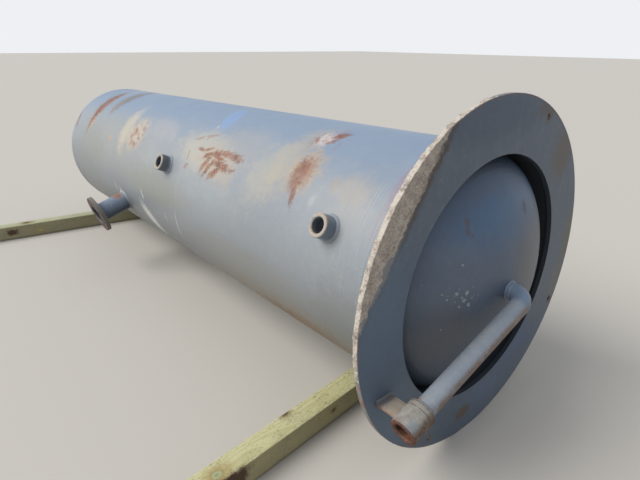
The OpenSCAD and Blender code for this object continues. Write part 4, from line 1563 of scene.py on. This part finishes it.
# %% [markdown]
# The drain pipe is paler than the head behind it and has rusted along its underside. The sleeve on
# its end was never painted: grey scale above, brown below, orange at the mouth. The bracket beside it
# is bare steel too, with dusty pink-brown on top.

# %% Drain line


def right_of_pipe(f):
    """How far a point lies to the right of the drain pipe's axis, as the camera sees it, in metres."""
    n = f.nodes
    ahead_of = n.math("SUBTRACT", f.axes[0], middle("drain_pipe").x)
    return n.plus(n.times(ahead_of, 0.89), n.times(f.axes[2], 0.44))


def three_tones(f, scale, tones, rough, smooth):
    """Bare steel of three tones, from dark to light, that a noise mixes."""
    n = f.nodes
    tone = n.noise(f.place, scale, 6, 0.7)
    f.colour = n.ramp(tone, *zip((0.32, 0.5, 0.68), [rgb(*colour) for colour in tones]))
    f.rough, f.height = n.between(tone, smooth, rough), n.plus(tone, n.noise(f.place, 240, 3, 0.6))


def pipe_paint():
    """The drain pipe and its elbow, rusty underneath, with painted shade on the elbow."""
    f = fitting_paint("pipe_primer", out_clock, (140, 148, 158), (122, 131, 143), (170, 150, 130), 0.3)
    n = f.nodes
    f.coat(f.broken(n.rise(f.upward, 0.50, -0.20), 0.32, 0.54), rgb(120, 106, 88), 0.6, strength=0.6)
    right = right_of_pipe(f)
    streak = f.broken(n.rise(right, 0.010, 0.024), 0.34, 0.54)
    f.coat(streak, rgb(108, 92, 74), 0.6, strength=0.7)
    f.rust(f.both(streak, n.rise(f.frayed, 0.48, 0.60)), 0.3, strength=0.6)
    f.coat(f.broken(n.rise(right, 0.004, -0.020), 0.46, 0.60), rgb(146, 146, 134), 0.6, strength=0.4)
    f.rust(f.broken(n.rise(f.upward, 0.1, -0.75), 0.34, 0.56), 0.35, strength=0.85)
    stain = n.noise(n.stretch(f.place, (30, 5, 30)), 1.0, 4, 0.6)
    f.coat(n.rise(stain, 0.58, 0.75), rgb(152, 128, 104), 0.6, strength=0.5)
    by_sleeve = n.rise(f.axes[1], sleeve_back - 0.036, sleeve_back - 0.006)
    f.rust(f.broken(by_sleeve, 0.48, 0.60), 0.7, strength=0.7)
    # painted shade, tinted blue: the elbow by the head is darker and bluer
    by_elbow = n.rise(f.axes[1], elbow_out + 0.015, elbow_out - 0.005)
    f.coat(by_elbow, rgb(96, 116, 140), 0.35, strength=0.7)
    return f.done(0.0005)


def sleeve_steel():
    """Bare steel that has been out in the rain, for the sleeve on the drain pipe."""
    f = turned_finish("bare_sleeve", out_clock)
    n = f.nodes
    three_tones(f, 26, ((110, 102, 96), (137, 133, 126), (156, 153, 148)), rough=0.8, smooth=0.6)
    f.rust(f.broken(n.rise(f.upward, 0.25, -0.5), 0.30, 0.50), 0.35, strength=0.9)
    f.rust(n.rise(f.edge, 0.58, 0.68), 0.25, strength=0.6)
    # two dark lines round the sleeve near its weld
    for start in (sleeve_back + 0.0015, sleeve_back + 0.016):
        begins = n.rise(f.axes[1], start, start + 0.001)
        line = f.both(begins, n.rise(f.axes[1], start + 0.0034, start + 0.002))
        f.coat(f.broken(line, 0.34, 0.46), rgb(58, 48, 44), 0.7, -0.8, strength=0.8)
    right = right_of_pipe(f)
    streak = f.broken(n.rise(right, 0.010, 0.034), 0.28, 0.50)
    f.coat(streak, rgb(92, 74, 60), 0.8, strength=0.8)
    paint_left = f.both(n.rise(f.axes[1], sleeve_mouth - 0.040, sleeve_mouth - 0.026),
                        n.rise(right, -0.014, -0.002), n.rise(right, 0.026, 0.014))
    f.coat(f.broken(paint_left, 0.36, 0.50), rgb(122, 132, 142), 0.5, strength=0.75)
    f.coat(f.both(streak, n.rise(f.frayed, 0.50, 0.60)), rgb(62, 44, 36), 0.85, strength=0.7)
    seep = n.rise(f.axes[1], sleeve_mouth - 0.037, sleeve_mouth)
    f.rust(f.broken(seep, 0.50, 0.62), 0.6, strength=0.7)
    mouth = n.rise(f.axes[1], sleeve_mouth - 0.0045, sleeve_mouth - 0.0025)
    f.coat(mouth, rgb(74, 48, 40), 0.85, strength=0.92)
    f.coat(f.both(mouth, n.rise(f.frayed, 0.50, 0.62)), rgb(134, 78, 52), 0.85, strength=0.7)
    f.worn(rgb(150, 126, 106), 0.003, 0.8, 0.4)
    return f.done(0.0006, 0.0008)


def bracket_steel():
    """The bracket: dusty pink-brown on top and a dark band by the ring."""
    f = Finish("bare_bracket")
    n = f.nodes
    three_tones(f, 30, ((150, 136, 122), (172, 158, 142), (184, 172, 158)), rough=0.85, smooth=0.7)
    f.coat(n.rise(f.axes[0], 0.030, 0.014), rgb(92, 98, 106), 0.5, strength=0.85)
    f.rust(f.broken(n.rise(f.upward, 0.5, -0.2), 0.30, 0.50), 0.3, strength=0.9)
    f.rust(n.rise(f.edge, 0.58, 0.68), 0.3, strength=0.6)
    return f.done(0.0006, 0.0008)


pipe_finish, sleeve_finish, bracket_finish = pipe_paint(), sleeve_steel(), bracket_steel()

# %% [markdown]
# The frame's own pieces keep their shapes and get a finish in the material slots that they came
# with. Beads and threads were made before most of the paints, because a paint needs their sizes, so
# those on the fittings are repainted here: a weld has the colour of the part that was painted with it.

# %% Dress the frame's own pieces


def dress(material, *names):
    """Gives frame nodes a finish in their own material slots."""
    for name in names:
        held = nodes[name].data.materials
        for slot in range(len(held)):
            held[slot] = material


def repaint(material, *pieces):
    """Gives pieces that were made above their own finish."""
    for piece in pieces:
        piece.data.materials.clear()
        piece.data.materials.append(material)


dress(shell_finish, "shell", "skirt", "far_head")
dress(ring_finish, "base_ring")
dress(head_finish, "near_head", "head_weld")
dress(coupling_finish, "near_coupling", "far_coupling")
dress(nozzle_finish, "nozzle_neck", "nozzle_flange")
dress(pipe_finish, "drain_stub", "drain_elbow", "drain_pipe")
dress(sleeve_finish, "drain_coupling")
dress(bracket_finish, "drain_bracket")
made = {item.name: item for item in scene.objects}
repaint(coupling_finish, made["near_coupling_weld_bead"], made["far_coupling_weld_bead"])
repaint(nozzle_finish, made["flange_bead"])
repaint(pipe_finish, made["drain_stub_bead"], made["elbow_beads"], made["sleeve_bead"])
repaint(bracket_finish, made["bracket_beads"])
repaint(bore_steel("coupling_bore", fit_clock, (66, 74, 82), (120, 128, 136), 0.2, 0.2),
        made["near_coupling_thread"], made["far_coupling_thread"])
repaint(bore_steel("drain_bore", out_clock, (34, 27, 24), (104, 74, 56), 0.7, 0.6), made["drain_thread"])
print("objects in the scene:", len(made))
